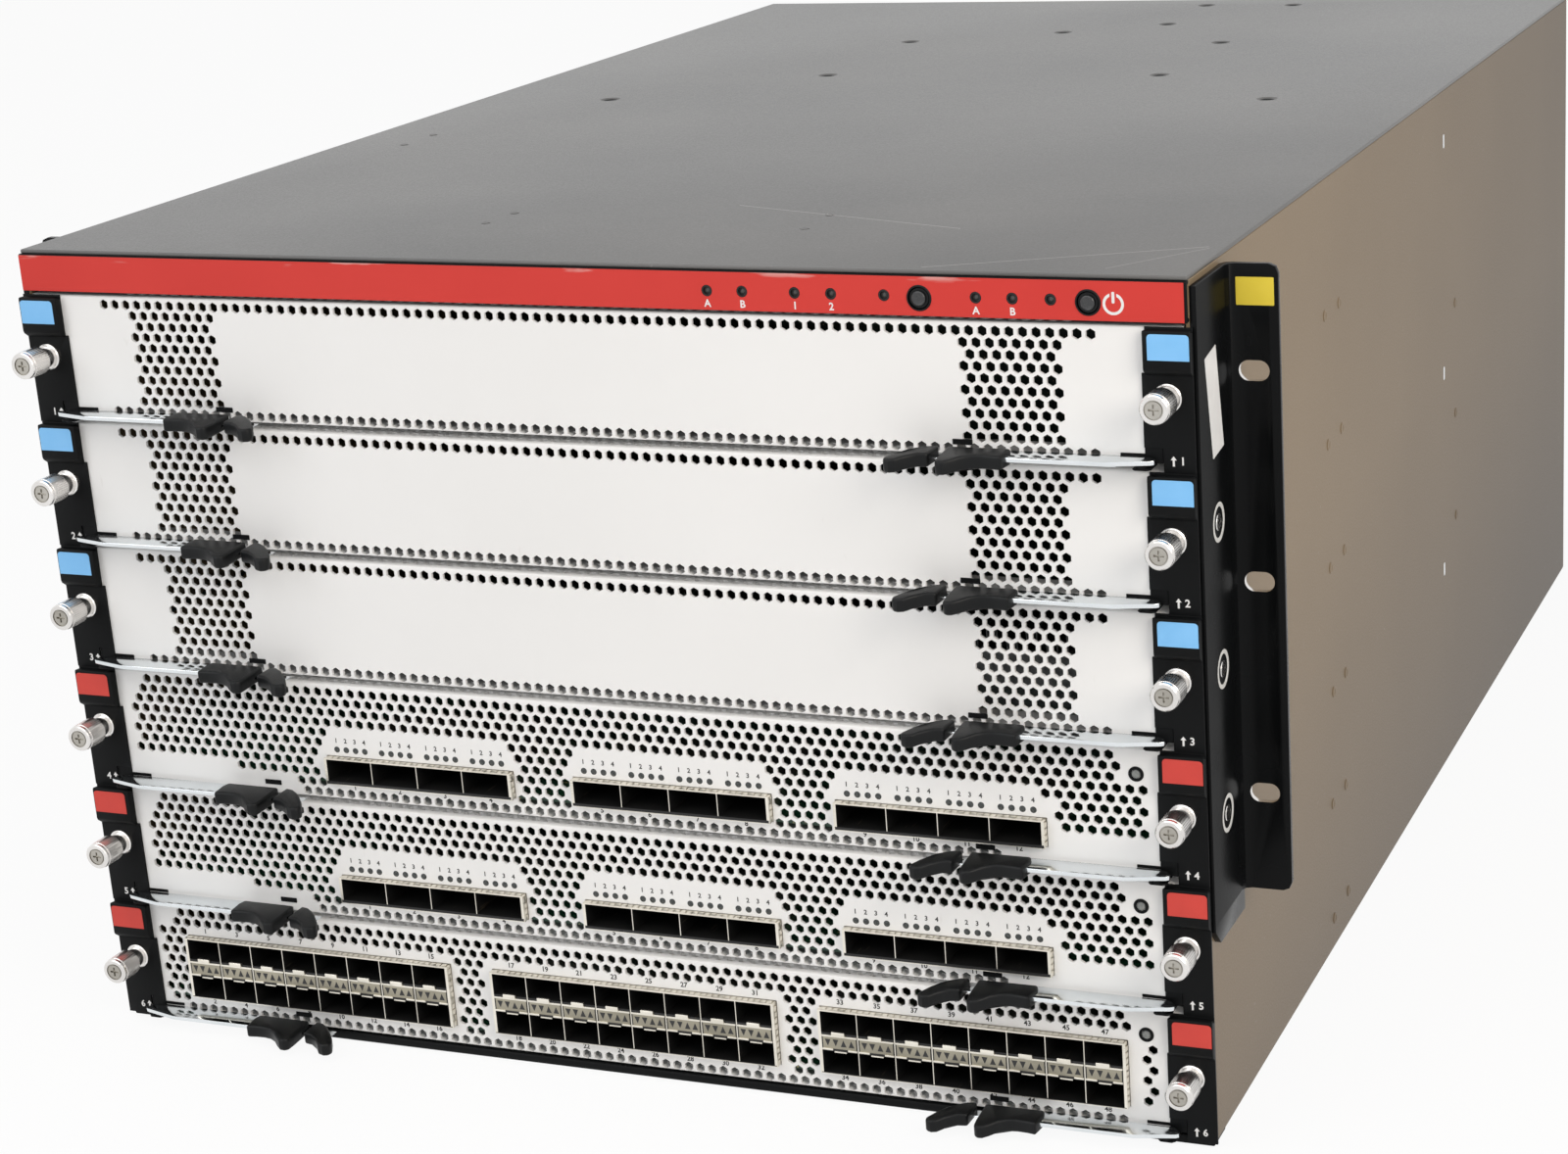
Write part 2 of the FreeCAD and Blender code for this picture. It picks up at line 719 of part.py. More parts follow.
def make_fans():
    """Upright fan modules across the rear, each with two recessed guards."""
    fans = []
    width = f"(2 * inner_half - {FAN_COUNT + 1} * bay_gap) / {FAN_COUNT}"
    rear = "chassis_depth"
    for number in range(FAN_COUNT):
        where = f"-inner_half + bay_gap + {number} * ({width} + bay_gap) + ({width}) / 2"
        fan = new_body(f"fan_module_{number + 1}", x=where, z="fan_floor")
        box = rectangle(f"-({width}) / 2", "0", f"({width}) / 2", "fan_height")
        pad_outline(fan, "XZ", box, f"{rear} - fan_length", "fan_length")
        for share in (1, 3):
            middle = f"{share} * fan_height / 4"
            guard = chamfered("fan_guard / 2", middle, "fan_guard_corner")
            cut_outline(fan, "XZ", guard, f"{rear} - fan_recess", "fan_recess")
        fans.append(fan)
    grouped("fan_modules", fans)


def make_supplies():
    """A row of power supplies under the fans, each with a recessed inlet."""
    supplies = []
    width = f"(2 * inner_half - {SUPPLY_COUNT + 1} * bay_gap) / {SUPPLY_COUNT}"
    for number in range(SUPPLY_COUNT):
        middle = f"-inner_half + bay_gap + {number} * ({width} + bay_gap) + ({width}) / 2"
        supply = new_body(f"power_supply_{number + 1}", x=middle, z="floor_wall")
        box = rectangle(f"-({width}) / 2", "0", f"({width}) / 2", "supply_height")
        pad_outline(supply, "XZ", box, "chassis_depth - supply_length", "supply_length")
        inlet_top = "inlet_lift + inlet_height"
        inlet = rectangle("-inlet_width / 2", "inlet_lift", "inlet_width / 2", inlet_top)
        cut_outline(supply, "XZ", inlet, "chassis_depth - inlet_depth", "inlet_depth")
        supplies.append(supply)
    grouped("power_supplies", supplies)


def check(item):
    """Stops on a failed feature or an unsound solid."""
    for part in doc.Objects:
        if "Invalid" in part.State or "Error" in part.State:
            raise RuntimeError(f"{part.Name} failed: {part.State}")
    if item.Shape.isNull() or not item.Shape.isValid():
        raise RuntimeError(f"{item.Label} is not a sound solid")


def build():
    """Makes every piece and writes one file for each node."""
    fill_sheet()
    make_shell()
    make_cover()
    make_banner()
    make_button("alarm_button", "alarm_button_x")
    make_button("power_button", "power_button_x")
    make_control_board()
    make_ears()
    for card in CARDS:
        make_faceplate(card)
        make_brackets(card)
        make_thumbscrews(card)
        make_lever(card)
        make_trigger(card)
    for card in LIVE_CARDS:
        make_cages(card)
        make_board(card)
    make_guides()
    make_midplane()
    make_fans()
    make_supplies()
    doc.recompute()
    os.makedirs("parts", exist_ok=True)
    for item in finished:
        check(item)
    for item in finished:
        item.Shape.exportStep(f"parts/{item.Label}.step")


build()
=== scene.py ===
"""Looks of a seven-unit rack chassis with six cards in its front.

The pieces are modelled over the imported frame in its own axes: X to the right, Y to
the rear and Z up. Blender works in metres, and the sizes written here are millimetres.
"""
import math
from collections import namedtuple

import bpy
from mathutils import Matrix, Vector


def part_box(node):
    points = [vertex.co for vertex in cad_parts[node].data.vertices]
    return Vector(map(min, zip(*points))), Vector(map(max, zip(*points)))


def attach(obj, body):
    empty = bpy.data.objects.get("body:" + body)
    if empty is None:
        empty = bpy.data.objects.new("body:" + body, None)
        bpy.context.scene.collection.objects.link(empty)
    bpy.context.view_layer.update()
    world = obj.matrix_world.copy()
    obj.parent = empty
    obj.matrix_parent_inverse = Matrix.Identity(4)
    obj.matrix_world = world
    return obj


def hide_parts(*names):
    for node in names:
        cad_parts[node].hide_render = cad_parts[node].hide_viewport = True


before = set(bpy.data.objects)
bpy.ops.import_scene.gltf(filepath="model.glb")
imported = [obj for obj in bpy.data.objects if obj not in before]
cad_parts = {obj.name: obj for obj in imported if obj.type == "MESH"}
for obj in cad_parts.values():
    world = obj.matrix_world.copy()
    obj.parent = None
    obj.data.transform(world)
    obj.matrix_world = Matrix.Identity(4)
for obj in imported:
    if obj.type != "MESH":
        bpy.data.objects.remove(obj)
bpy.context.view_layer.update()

MM = 0.001
LEVEL = 1e-6
SHEET = 1.5
CARDS = range(1, 7)
BLANK_CARDS = (1, 2, 3)
QUAD_CARDS = (4, 5)
STACK_CARD = 6
LIVE_CARDS = (4, 5, 6)

# Places read from the frame.
cover_low, cover_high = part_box("top_cover")
FRONT = cover_low.y
DEPTH = (cover_high.y - cover_low.y) / MM
TOP = cover_high.z / MM
HALF = cover_high.x / MM
CARD_FLOOR = {card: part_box(f"faceplate_{card}")[0].z / MM for card in CARDS}
CARD_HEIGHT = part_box("faceplate_1")[1].z / MM - CARD_FLOOR[1]
PLATE_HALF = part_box("faceplate_1")[1].x / MM
BANNER_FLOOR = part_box("front_banner")[0].z / MM
BANNER_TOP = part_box("front_banner")[1].z / MM


def at(x, depth, up):
    """A point given by its distance behind the card fronts and its height."""
    return Vector((x * MM, FRONT + depth * MM, up * MM))


def on_card(x, depth, up, card=1):
    """A point given by its height above a card's lower edge."""
    return at(x, depth, CARD_FLOOR[card] + up)


# Shader sums

SEEN_RAYS = ("Camera", "Glossy", "Transmission")


class Wire:
    """A shader socket that takes part in plain sums."""

    def __init__(self, nodes, socket):
        self.nodes = nodes
        self.socket = socket

    def sum_with(self, operation, first, second):
        return self.nodes.node("ShaderNodeMath", {"operation": operation}, {0: first, 1: second})

    def __add__(self, other):
        return self.sum_with("ADD", self, other)

    def __radd__(self, other):
        return self.sum_with("ADD", other, self)

    def __sub__(self, other):
        return self.sum_with("SUBTRACT", self, other)

    def __rsub__(self, other):
        return self.sum_with("SUBTRACT", other, self)

    def __mul__(self, other):
        return self.sum_with("MULTIPLY", self, other)

    def __rmul__(self, other):
        return self.sum_with("MULTIPLY", other, self)

    def __gt__(self, other):
        return self.sum_with("GREATER_THAN", self, other)

    def __lt__(self, other):
        return self.sum_with("LESS_THAN", self, other)


class Nodes:
    """A tree of shader nodes."""

    def __init__(self, tree):
        self.tree = tree

    def node(self, kind, settings=None, inputs=None, output=0):
        """Any node: its settings first, then the values or links of its sockets."""
        made = self.tree.nodes.new(kind)
        for setting, value in (settings or {}).items():
            setattr(made, setting, value)
        for socket, value in (inputs or {}).items():
            self.feed(made.inputs[socket], value)
        return Wire(self, made.outputs[output])

    def feed(self, socket, value):
        if isinstance(value, Wire):
            self.tree.links.new(value.socket, socket)
        else:
            socket.default_value = value

    def seen(self):
        """One for what the camera sees, straight, mirrored or through a clear piece."""
        camera, glossy, clear = (
            self.node("ShaderNodeLightPath", output=f"Is {kind} Ray") for kind in SEEN_RAYS)
        return camera + glossy + clear


class Finish(Nodes):
    """A material whose pattern is built up from nodes."""

    def __init__(self, name, **constants):
        self.material = bpy.data.materials.new(name)
        self.material.use_nodes = True
        super().__init__(self.material.node_tree)
        self.surface = self.tree.nodes["Principled BSDF"]
        for socket, value in constants.items():
            self.surface.inputs[socket.replace("_", " ")].default_value = value
        self.place = self.node("ShaderNodeTexCoord", output="Object")

    def set(self, **links):
        """Links sums to the surface's own sockets."""
        for socket, value in links.items():
            self.feed(self.surface.inputs[socket.replace("_", " ")], value)
        return self.material

    def along(self, axis):
        """The place along one axis."""
        return self.node("ShaderNodeSeparateXYZ", {}, {0: self.place}, output=axis)

    def stretched(self, across, along, up):
        """The place on the piece, with each axis drawn out by its own factor."""
        return self.node("ShaderNodeMapping", {}, {"Vector": self.place, "Scale": (across, along, up)})

    def noise(self, scale, detail=3.0, place=None):
        inputs = {"Vector": place or self.place, "Scale": scale, "Detail": detail}
        return self.node("ShaderNodeTexNoise", {}, inputs)

    def ramp(self, value, low, high):
        """A value spread between two stops."""
        inputs = {"Value": value, "From Min": low, "From Max": high}
        return self.node("ShaderNodeMapRange", {"clamp": True}, inputs)

    def blend(self, share, first, second):
        """A mix of two colours."""
        sockets = {"Factor": share, 6: first, 7: second}
        return self.node("ShaderNodeMix", {"data_type": "RGBA"}, sockets, output=2)

    def bump(self, height, strength, distance):
        inputs = {"Height": height, "Strength": strength, "Distance": distance}
        return self.node("ShaderNodeBump", {}, inputs)


def shade(level, warm=0.0):
    """A grey with a slight lean to warm or cool."""
    return (level * (1 + warm), level, level * (1 - warm), 1.0)


# Long fine scratches on the lid, in metres: slope, depth at the middle, left end and right end.
LONG_SCRATCHES = [(0.48, -0.058, 0.13, 0.216), (1.4, -0.26, 0.192, 0.217), (-0.35, 0.11, 0.02, 0.12)]
SCRATCH_HALF = 0.0003
# The dark warm tone of the painted shade on the coat.
PAINTED_SHADE_TONE = (0.05, 0.03, 0.012, 1)


def powder_coat(name, low, high, index, sheen, shade_share=0.0):
    """Satin coat with an orange-peel grain, dust and pale scratches.

    It may take painted shade, darkening by a share towards the rear and the foot.
    """
    coat = Finish(name, IOR=index, Specular_Tint=sheen)
    grain = coat.noise(1500.0, 2.0)
    cloud = coat.noise(9.0, 4.0)
    rub = coat.noise(60.0, 3.0, coat.stretched(0.25, 2.4, 1.0))
    scratch = coat.ramp(rub, 0.735, 0.76) * coat.ramp(cloud, 0.5, 0.62)
    dust = coat.ramp(coat.noise(420.0, 1.0), 0.74, 0.8) * coat.ramp(cloud, 0.42, 0.6)
    across, depth, height = (coat.along(axis) for axis in "XYZ")
    line = scratch * 0.5
    for slope, start, near, far in LONG_SCRATCHES:
        gap = depth - FRONT - across * slope - start
        line = line + ((gap * gap) < SCRATCH_HALF ** 2) * (across > near) * (across < far)
    tone = coat.blend(coat.ramp(cloud, 0.3, 0.7), low, high)
    # Painted shade: darker towards the rear and the foot.
    painted_shade = coat.ramp(depth, FRONT + 0.1, FRONT + 0.65) + coat.ramp(height, 0.18, -0.02) * 0.9
    tone = coat.blend(painted_shade * shade_share, tone, PAINTED_SHADE_TONE)
    worn = coat.blend(line * 0.6 + dust * 0.2, tone, shade(0.42, 0.02))
    dull = 0.32 + coat.ramp(grain, 0.3, 0.7) * 0.1 + scratch * 0.15
    return coat.set(Base_Color=worn, Roughness=dull, Normal=coat.bump(grain, 0.22, 0.0003))


def black_paint(name, index, roughness):
    """Smooth black on the end brackets and ears."""
    paint = Finish(name, IOR=index)
    grain = paint.noise(2400.0, 2.0)
    cloud = paint.noise(35.0, 3.0)
    tone = paint.blend(cloud, shade(0.003, -0.1), shade(0.006, -0.1))
    dull = roughness + paint.ramp(cloud, 0.35, 0.7) * 0.12
    return paint.set(Base_Color=tone, Roughness=dull, Normal=paint.bump(grain, 0.1, 0.0002))


def white_card_paint():
    """White paint on the card fronts, slightly uneven, with a few handling marks."""
    paint = Finish("white_card_paint", IOR=1.5)
    cloud = paint.noise(14.0, 4.0)
    mark = paint.ramp(paint.noise(190.0, 2.0, paint.stretched(1.0, 1.0, 0.3)), 0.73, 0.8)
    tone = paint.blend(cloud, (0.76, 0.76, 0.755, 1), (0.82, 0.82, 0.82, 1))
    worn = paint.blend(mark * 0.25, tone, (0.5, 0.48, 0.45, 1))
    grain = paint.noise(2600.0, 2.0)
    dull = 0.36 + cloud * 0.12
    return paint.set(Base_Color=worn, Roughness=dull, Normal=paint.bump(grain, 0.05, 0.0002))


def red_banner_film():
    """Printed red film, a little scuffed along its upper edge."""
    film = Finish("red_banner_film", IOR=1.3)
    streak = film.noise(45.0, 4.0, film.stretched(0.7, 1.0, 5.0))
    edge = film.ramp(film.along("Z"), (BANNER_TOP - 2.6) * MM, (BANNER_TOP - 0.6) * MM)
    scuff = film.ramp(streak, 0.6, 0.66) * edge
    cloud = film.noise(20.0, 3.0)
    tone = film.blend(cloud, (0.54, 0.036, 0.03, 1), (0.62, 0.05, 0.04, 1))
    worn = film.blend(scuff * 0.6, tone, (0.7, 0.45, 0.42, 1))
    return film.set(Base_Color=worn, Roughness=0.36 + cloud * 0.15)


def sticker_film(name, low, high):
    """A plain coloured sticker."""
    film = Finish(name, IOR=1.45)
    cloud = film.noise(120.0, 3.0)
    return film.set(Base_Color=film.blend(cloud, low, high), Roughness=0.42 + cloud * 0.15)


def drawn_metal(name, dark, bright, roughness, along):
    """Bare metal with fine draw lines along one axis and small stains."""
    metal = Finish(name, Metallic=1.0)
    stretch = [1.0, 1.0, 1.0]
    stretch[along] = 0.04
    line = metal.noise(2600.0, 2.0, metal.stretched(*stretch))
    stain = metal.noise(70.0, 3.0)
    tone = metal.blend(metal.ramp(stain, 0.3, 0.7) * 0.6 + line * 0.4, dark, bright)
    dull = roughness + metal.ramp(stain, 0.35, 0.75) * 0.12 + line * 0.06
    return metal.set(Base_Color=tone, Roughness=dull, Normal=metal.bump(line, 0.08, 0.0001))


def black_moulding():
    """Fine-grained moulded plastic, paler where it is handled."""
    plastic = Finish("black_moulding", IOR=1.28)
    grain = plastic.noise(1900.0, 3.0)
    rub = plastic.noise(80.0, 3.0)
    tone = plastic.blend(rub, shade(0.004, -0.1), shade(0.009, -0.1))
    dull = 0.34 + plastic.ramp(rub, 0.3, 0.7) * 0.12
    return plastic.set(Base_Color=tone, Roughness=dull, Normal=plastic.bump(grain, 0.18, 0.0003))


def cage_shadow():
    """The dark inside of a port, with a faint glint of contacts."""
    dark = Finish("cage_shadow")
    glint = dark.ramp(dark.noise(900.0, 2.0, dark.stretched(1.0, 0.08, 1.0)), 0.68, 0.74)
    tone = dark.blend(glint * 0.35, shade(0.0015), (0.09, 0.075, 0.05, 1))
    return dark.set(Base_Color=tone, Roughness=0.55 - glint * 0.2)


def lamp_lens(name, low, high):
    """Clouded plastic of an unlit lamp."""
    lens = Finish(name, IOR=1.5)
    cloud = lens.noise(700.0, 2.0)
    return lens.set(Base_Color=lens.blend(cloud, low, high), Roughness=0.2 + cloud * 0.15)


def printed_ink(name, low, high):
    """Screen print, a little thin in places."""
    ink = Finish(name)
    thin = ink.noise(1400.0, 3.0)
    return ink.set(Base_Color=ink.blend(thin, low, high), Roughness=0.5 + thin * 0.1)


def board_lacquer():
    """Green solder mask with darker tracks and pale pads."""
    board = Finish("board_lacquer", IOR=1.5)
    cells = board.node("ShaderNodeTexBrick", {}, {
        "Vector": board.place, "Scale": 90.0, "Mortar Size": 0.06, "Color1": (0.01, 0.07, 0.03, 1),
        "Color2": (0.012, 0.09, 0.04, 1), "Mortar": (0.004, 0.035, 0.018, 1),
    })
    pads = board.ramp(board.noise(500.0, 1.0), 0.7, 0.73)
    tone = board.blend(pads * 0.7, cells, (0.45, 0.38, 0.2, 1))
    return board.set(Base_Color=tone, Roughness=0.35 + pads * 0.1)


# Black coats whose base colours carry painted sheen, grey on the lid and fan trays and warm tan on the
# side walls, standing for reflections of the room.
SHEEN_COAT = powder_coat("black_coat_painted_sheen", shade(0.085), shade(0.115, 0.02), 1.55, shade(1.0))
SIDE_SHEEN_COAT = powder_coat(
    "side_coat_painted_sheen", (0.225, 0.166, 0.102, 1), (0.25, 0.186, 0.116, 1), 1.22,
    (1.0, 0.8, 0.58, 1), 0.5)
BRACKET = black_paint("black_bracket_paint", 1.2, 0.42)
EAR_GLOSS = black_paint("gloss_ear_paint", 1.18, 0.2)
WHITE = white_card_paint()
RED = red_banner_film()
ZINC = drawn_metal("zinc_plate", (0.68, 0.72, 0.74, 1), (0.83, 0.86, 0.88, 1), 0.07, 0)
NICKEL = drawn_metal("nickel_screw", (0.68, 0.66, 0.64, 1), (0.88, 0.86, 0.84, 1), 0.16, 1)
WORN_NICKEL = drawn_metal("worn_nickel", (0.34, 0.32, 0.28, 1), (0.56, 0.54, 0.5, 1), 0.3, 1)
ALUMINIUM = drawn_metal("sink_aluminium", (0.5, 0.51, 0.52, 1), (0.66, 0.67, 0.68, 1), 0.32, 1)
CAGE = drawn_metal("cage_steel", (0.7, 0.66, 0.57, 1), (0.92, 0.88, 0.79, 1), 0.24, 0)
DULL_CAGE = drawn_metal("dull_cage_steel", (0.26, 0.24, 0.19, 1), (0.42, 0.39, 0.31, 1), 0.36, 0)
MOULDING = black_moulding()
SHADOW = cage_shadow()
BLUE_STICKER = sticker_film("blue_sticker", (0.17, 0.46, 0.82, 1), (0.23, 0.53, 0.88, 1))
RED_STICKER = sticker_film("red_sticker", (0.52, 0.04, 0.03, 1), (0.62, 0.055, 0.04, 1))
YELLOW_STICKER = sticker_film("yellow_sticker", (0.72, 0.56, 0.04, 1), (0.8, 0.64, 0.07, 1))
WHITE_STICKER = sticker_film("white_sticker", (0.76, 0.77, 0.78, 1), (0.84, 0.84, 0.84, 1))
BARE_RIM = sticker_film("bare_zinc_rim", (0.6, 0.61, 0.61, 1), (0.74, 0.74, 0.72, 1))
LENS = lamp_lens("clouded_lens", (0.022, 0.026, 0.026, 1), (0.05, 0.056, 0.055, 1))
PALE_LENS = lamp_lens("pale_lens", (0.14, 0.15, 0.15, 1), (0.24, 0.25, 0.24, 1))
DARK_LENS = lamp_lens("dark_lens", (0.03, 0.03, 0.03, 1), (0.06, 0.058, 0.055, 1))
BUTTON = lamp_lens("button_cap", (0.02, 0.021, 0.023, 1), (0.042, 0.044, 0.047, 1))
BLACK_INK = printed_ink("black_ink", shade(0.01), shade(0.03))
WHITE_INK = printed_ink("white_ink", shade(0.66), shade(0.8))
BOARD = board_lacquer()


# Modelling steps

ORIGIN = Vector((0, 0, 0))


def deselect():
    bpy.ops.object.select_all(action="DESELECT")


def only(piece):
    """Makes a piece the only one that the next operator acts on."""
    deselect()
    piece.select_set(True)
    bpy.context.view_layer.objects.active = piece


def settle(piece):
    """Puts a piece's place into its mesh."""
    only(piece)
    bpy.ops.object.transform_apply(location=True, rotation=True, scale=True)
    return piece


def add_block(low, high):
    """A block between two corners, to be worked on."""
    deselect()
    bpy.ops.mesh.primitive_cube_add(size=1.0, location=(low + high) / 2)
    block = bpy.context.object
    block.scale = high - low
    return settle(block)


AXIS_TURNS = {"x": (0, math.pi / 2, 0), "y": (math.pi / 2, 0, 0), "z": (0, 0, 0)}


def add_rod(middle, radius, length, axis="y", sides=32, turn=0.0):
    """A round rod about its middle, to be worked on."""
    deselect()
    turns = Vector(AXIS_TURNS[axis])
    bpy.ops.mesh.primitive_cylinder_add(
        vertices=sides, radius=radius * MM, depth=length * MM, location=middle, rotation=turns)
    rod = settle(bpy.context.object)
    if turn:
        bpy.ops.object.mode_set(mode="EDIT")
        bpy.ops.mesh.select_all(action="SELECT")
        bpy.ops.transform.rotate(value=turn, orient_axis=axis.upper(), center_override=middle)
        bpy.ops.object.mode_set(mode="OBJECT")
    return rod


def open_edit(mode):
    bpy.ops.object.mode_set(mode="EDIT")
    bpy.ops.mesh.select_mode(type=mode)


def close_edit():
    bpy.ops.object.mode_set(mode="OBJECT")


def pick_faces(piece, test):
    """Opens a piece with the faces selected whose middle and normal pass a test."""
    only(piece)
    open_edit("FACE")
    bpy.ops.mesh.select_all(action="DESELECT")
    close_edit()
    for face in piece.data.polygons:
        face.select = bool(test(face.center, face.normal))
    open_edit("FACE")


def pick_edges(piece, test):
    """Opens a piece with the edges selected whose two ends pass a test."""
    only(piece)
    open_edit("EDGE")
    bpy.ops.mesh.select_all(action="DESELECT")
    close_edit()
    corners = piece.data.vertices
    for edge in piece.data.edges:
        first, second = (corners[number].co for number in edge.vertices)
        edge.select = bool(test(first, second))
    open_edit("EDGE")


def runs(axis):
    """A test for edges that run along one axis."""
    others = [number for number in range(3) if number != "xyz".index(axis)]
    return lambda a, b: all(abs(a[number] - b[number]) < LEVEL for number in others)


def within(spot, radius):
    """A test for faces close round a line that runs to the rear through a spot."""
    return lambda middle, normal: math.hypot(middle.x - spot.x, middle.z - spot.z) < radius * MM


def faces_up(middle, normal):
    return normal.z > 0.5


def faces_rear(middle, normal):
    return normal.y > 0.5


def round_wall(middle, normal):
    return abs(normal.y) < 0.2


def rear_or_end(middle, normal):
    return normal.y > 0.5 or abs(normal.x) > 0.5


def inset_faces(piece, test, margin, depth=0.0, each=False):
    """Sets picked faces in by a margin and down by a depth."""
    pick_faces(piece, test)
    bpy.ops.mesh.inset(thickness=margin * MM, depth=-depth * MM, use_individual=each)
    close_edit()


def drop_faces(piece, test):
    pick_faces(piece, test)
    bpy.ops.mesh.delete(type="FACE")
    close_edit()


def round_edges(piece, test, width, steps=3):
    """Rounds picked edges."""
    pick_edges(piece, test)
    bpy.ops.mesh.bevel(offset=width * MM, segments=steps, affect="EDGES")
    close_edit()


def apply_modifier(piece, modifier):
    only(piece)
    bpy.ops.object.modifier_apply(modifier=modifier.name)


def soften(piece, width, steps=2, angle=40):
    """Breaks all sharp edges of a piece."""
    bevel = piece.modifiers.new("soft edges", "BEVEL")
    bevel.width = width * MM
    bevel.segments = steps
    bevel.limit_method = "ANGLE"
    bevel.angle_limit = math.radians(angle)
    apply_modifier(piece, bevel)
    return piece


def thicken(piece, wall):
    """Gives a folded sheet its wall, inwards."""
    skin = piece.modifiers.new("wall", "SOLIDIFY")
    skin.thickness = wall * MM
    skin.offset = -1.0
    skin.use_even_offset = True
    apply_modifier(piece, skin)


def repeat_along(piece, count, step):
    """A row of the same shape."""
    row = piece.modifiers.new("row", "ARRAY")
    row.count = count
    row.use_relative_offset = False
    row.use_constant_offset = True
    row.constant_offset_displace = step
    apply_modifier(piece, row)
    return piece


def combine(piece, tool, operation):
    join = piece.modifiers.new("combine", "BOOLEAN")
    join.operation = operation
    join.solver = "MANIFOLD"
    join.object = tool
    apply_modifier(piece, join)
    bpy.data.objects.remove(tool, do_unlink=True)
    return piece


def cut_with(piece, tool):
    """Takes a tool's shape out of a piece."""
    return combine(piece, tool, "DIFFERENCE")


def weld_on(piece, tool):
    """Makes a second shape part of a piece."""
    return combine(piece, tool, "UNION")


def gather(pieces):
    """Several shapes as one piece."""
    deselect()
    for piece in pieces:
        piece.select_set(True)
    bpy.context.view_layer.objects.active = pieces[0]
    if len(pieces) > 1:
        bpy.ops.object.join()
    return bpy.context.view_layer.objects.active


def copy_piece(piece, shift=(0, 0, 0), scale=(1, 1, 1)):
    """A copy with a mesh of its own."""
    twin = piece.copy()
    twin.data = piece.data.copy()
    bpy.context.collection.objects.link(twin)
    twin.location = shift
    twin.scale = scale
    return settle(twin)


def mirror_piece(piece):
    """A copy for the other side, turned right side out."""
    return face_outwards(copy_piece(piece, scale=(-1, 1, 1)))


def both_sides(piece):
    """A piece and its mirror image as one."""
    return gather([piece, mirror_piece(piece)])


def face_outwards(piece):
    only(piece)
    open_edit("FACE")
    bpy.ops.mesh.select_all(action="SELECT")
    bpy.ops.mesh.normals_make_consistent(inside=False)
    close_edit()
    return piece


def draw_plate(corners, plane, start, end):
    """An outline walked corner by corner, filled, and drawn out to its thickness."""
    def lift(corner):
        first, second = corner
        spots = {"xy": (first, second, start), "xz": (first, start, second), "yz": (start, first, second)}
        return at(*spots[plane])

    points = [lift(corner) for corner in corners]
    deselect()
    bpy.ops.mesh.primitive_plane_add(size=MM, location=points[0])
    plate = settle(bpy.context.object)
    open_edit("VERT")
    bpy.ops.mesh.select_all(action="SELECT")
    bpy.ops.mesh.merge(type="CENTER")
    for before, after in zip(points, points[1:] + points[:1]):
        bpy.ops.mesh.extrude_vertices_move(TRANSFORM_OT_translate={"value": after - before})
    bpy.ops.mesh.select_all(action="SELECT")
    bpy.ops.mesh.remove_doubles(threshold=MM * 0.005)
    bpy.ops.mesh.edge_face_add()
    way = {"xy": (0, 0, 1), "xz": (0, 1, 0), "yz": (1, 0, 0)}[plane]
    bpy.ops.mesh.extrude_region_move(
        TRANSFORM_OT_translate={"value": Vector(way) * (end - start) * MM})
    close_edit()
    return face_outwards(plate)


def turn_piece(middle, profile, sides=32):
    """A turned piece that points to the front: a disc drawn out and resized step by step.

    The profile lists each step's distance in front of the middle and its radius.
    """
    deselect()
    start, radius = profile[0]
    bpy.ops.mesh.primitive_circle_add(
        vertices=sides, radius=radius * MM, fill_type="NGON",
        location=middle + Vector((0, -start * MM, 0)), rotation=(math.pi / 2, 0, 0))
    piece = settle(bpy.context.object)
    open_edit("FACE")
    bpy.ops.mesh.select_all(action="SELECT")
    for step, size in profile[1:]:
        bpy.ops.mesh.extrude_region_move(
            TRANSFORM_OT_translate={"value": (0, (start - step) * MM, 0)})
        ratio = size / radius
        if abs(ratio - 1) > 1e-6:
            bpy.ops.transform.resize(value=(ratio, 1, ratio), center_override=middle)
        start, radius = step, size
    close_edit()
    return face_outwards(piece)


def add_sign(text, spot, height, turn=0.0):
    """A plain printed number, as a thin mesh on a front."""
    deselect()
    bpy.ops.object.text_add(location=spot, rotation=(math.pi / 2, -turn, 0))
    sign = bpy.context.object
    sign.data.body = text
    sign.data.size = height * MM * 1.38
    sign.data.align_x = "CENTER"
    sign.data.align_y = "CENTER"
    sign.data.resolution_u = 2
    sign.data.extrude = 0.02 * MM
    sign.data.offset = 0.032 * height * MM
    bpy.ops.object.convert(target="MESH")
    return settle(bpy.context.object)


def paint(piece, *finishes):
    """Gives a piece its finishes, the first one all over."""
    piece.data.materials.clear()
    for finish in finishes:
        piece.data.materials.append(finish)
    for face in piece.data.polygons:
        face.material_index = 0
    return piece


def paint_where(piece, number, test):
    """Gives some faces another of the piece's finishes."""
    for face in piece.data.polygons:
        if test(face.center, face.normal):
            face.material_index = number


def fit(piece, name, body, slot, *nodes, smooth=30):
    """Names a finished piece, smooths it, and hands it to the body that carries it."""
    only(piece)
    if smooth:
        bpy.ops.object.shade_smooth_by_angle(angle=math.radians(smooth))
    piece.name = name
    piece.data.name = name
    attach(piece, body)
    if nodes:
        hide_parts(*nodes)
    return piece


def lowered(card):
    """The way from the first card down to another one."""
    return Vector((0, 0, (CARD_FLOOR[card] - CARD_FLOOR[1]) * MM))


def dress(pieces, finish, name, body, slot, *nodes, smooth=30):
    """Joins shapes to one piece, paints it and hands it to its body."""
    piece = paint(gather(pieces), finish)
    return fit(piece, name, body, slot, *nodes, smooth=smooth)


def discard(*pieces):
    for piece in pieces:
        bpy.data.objects.remove(piece, do_unlink=True)


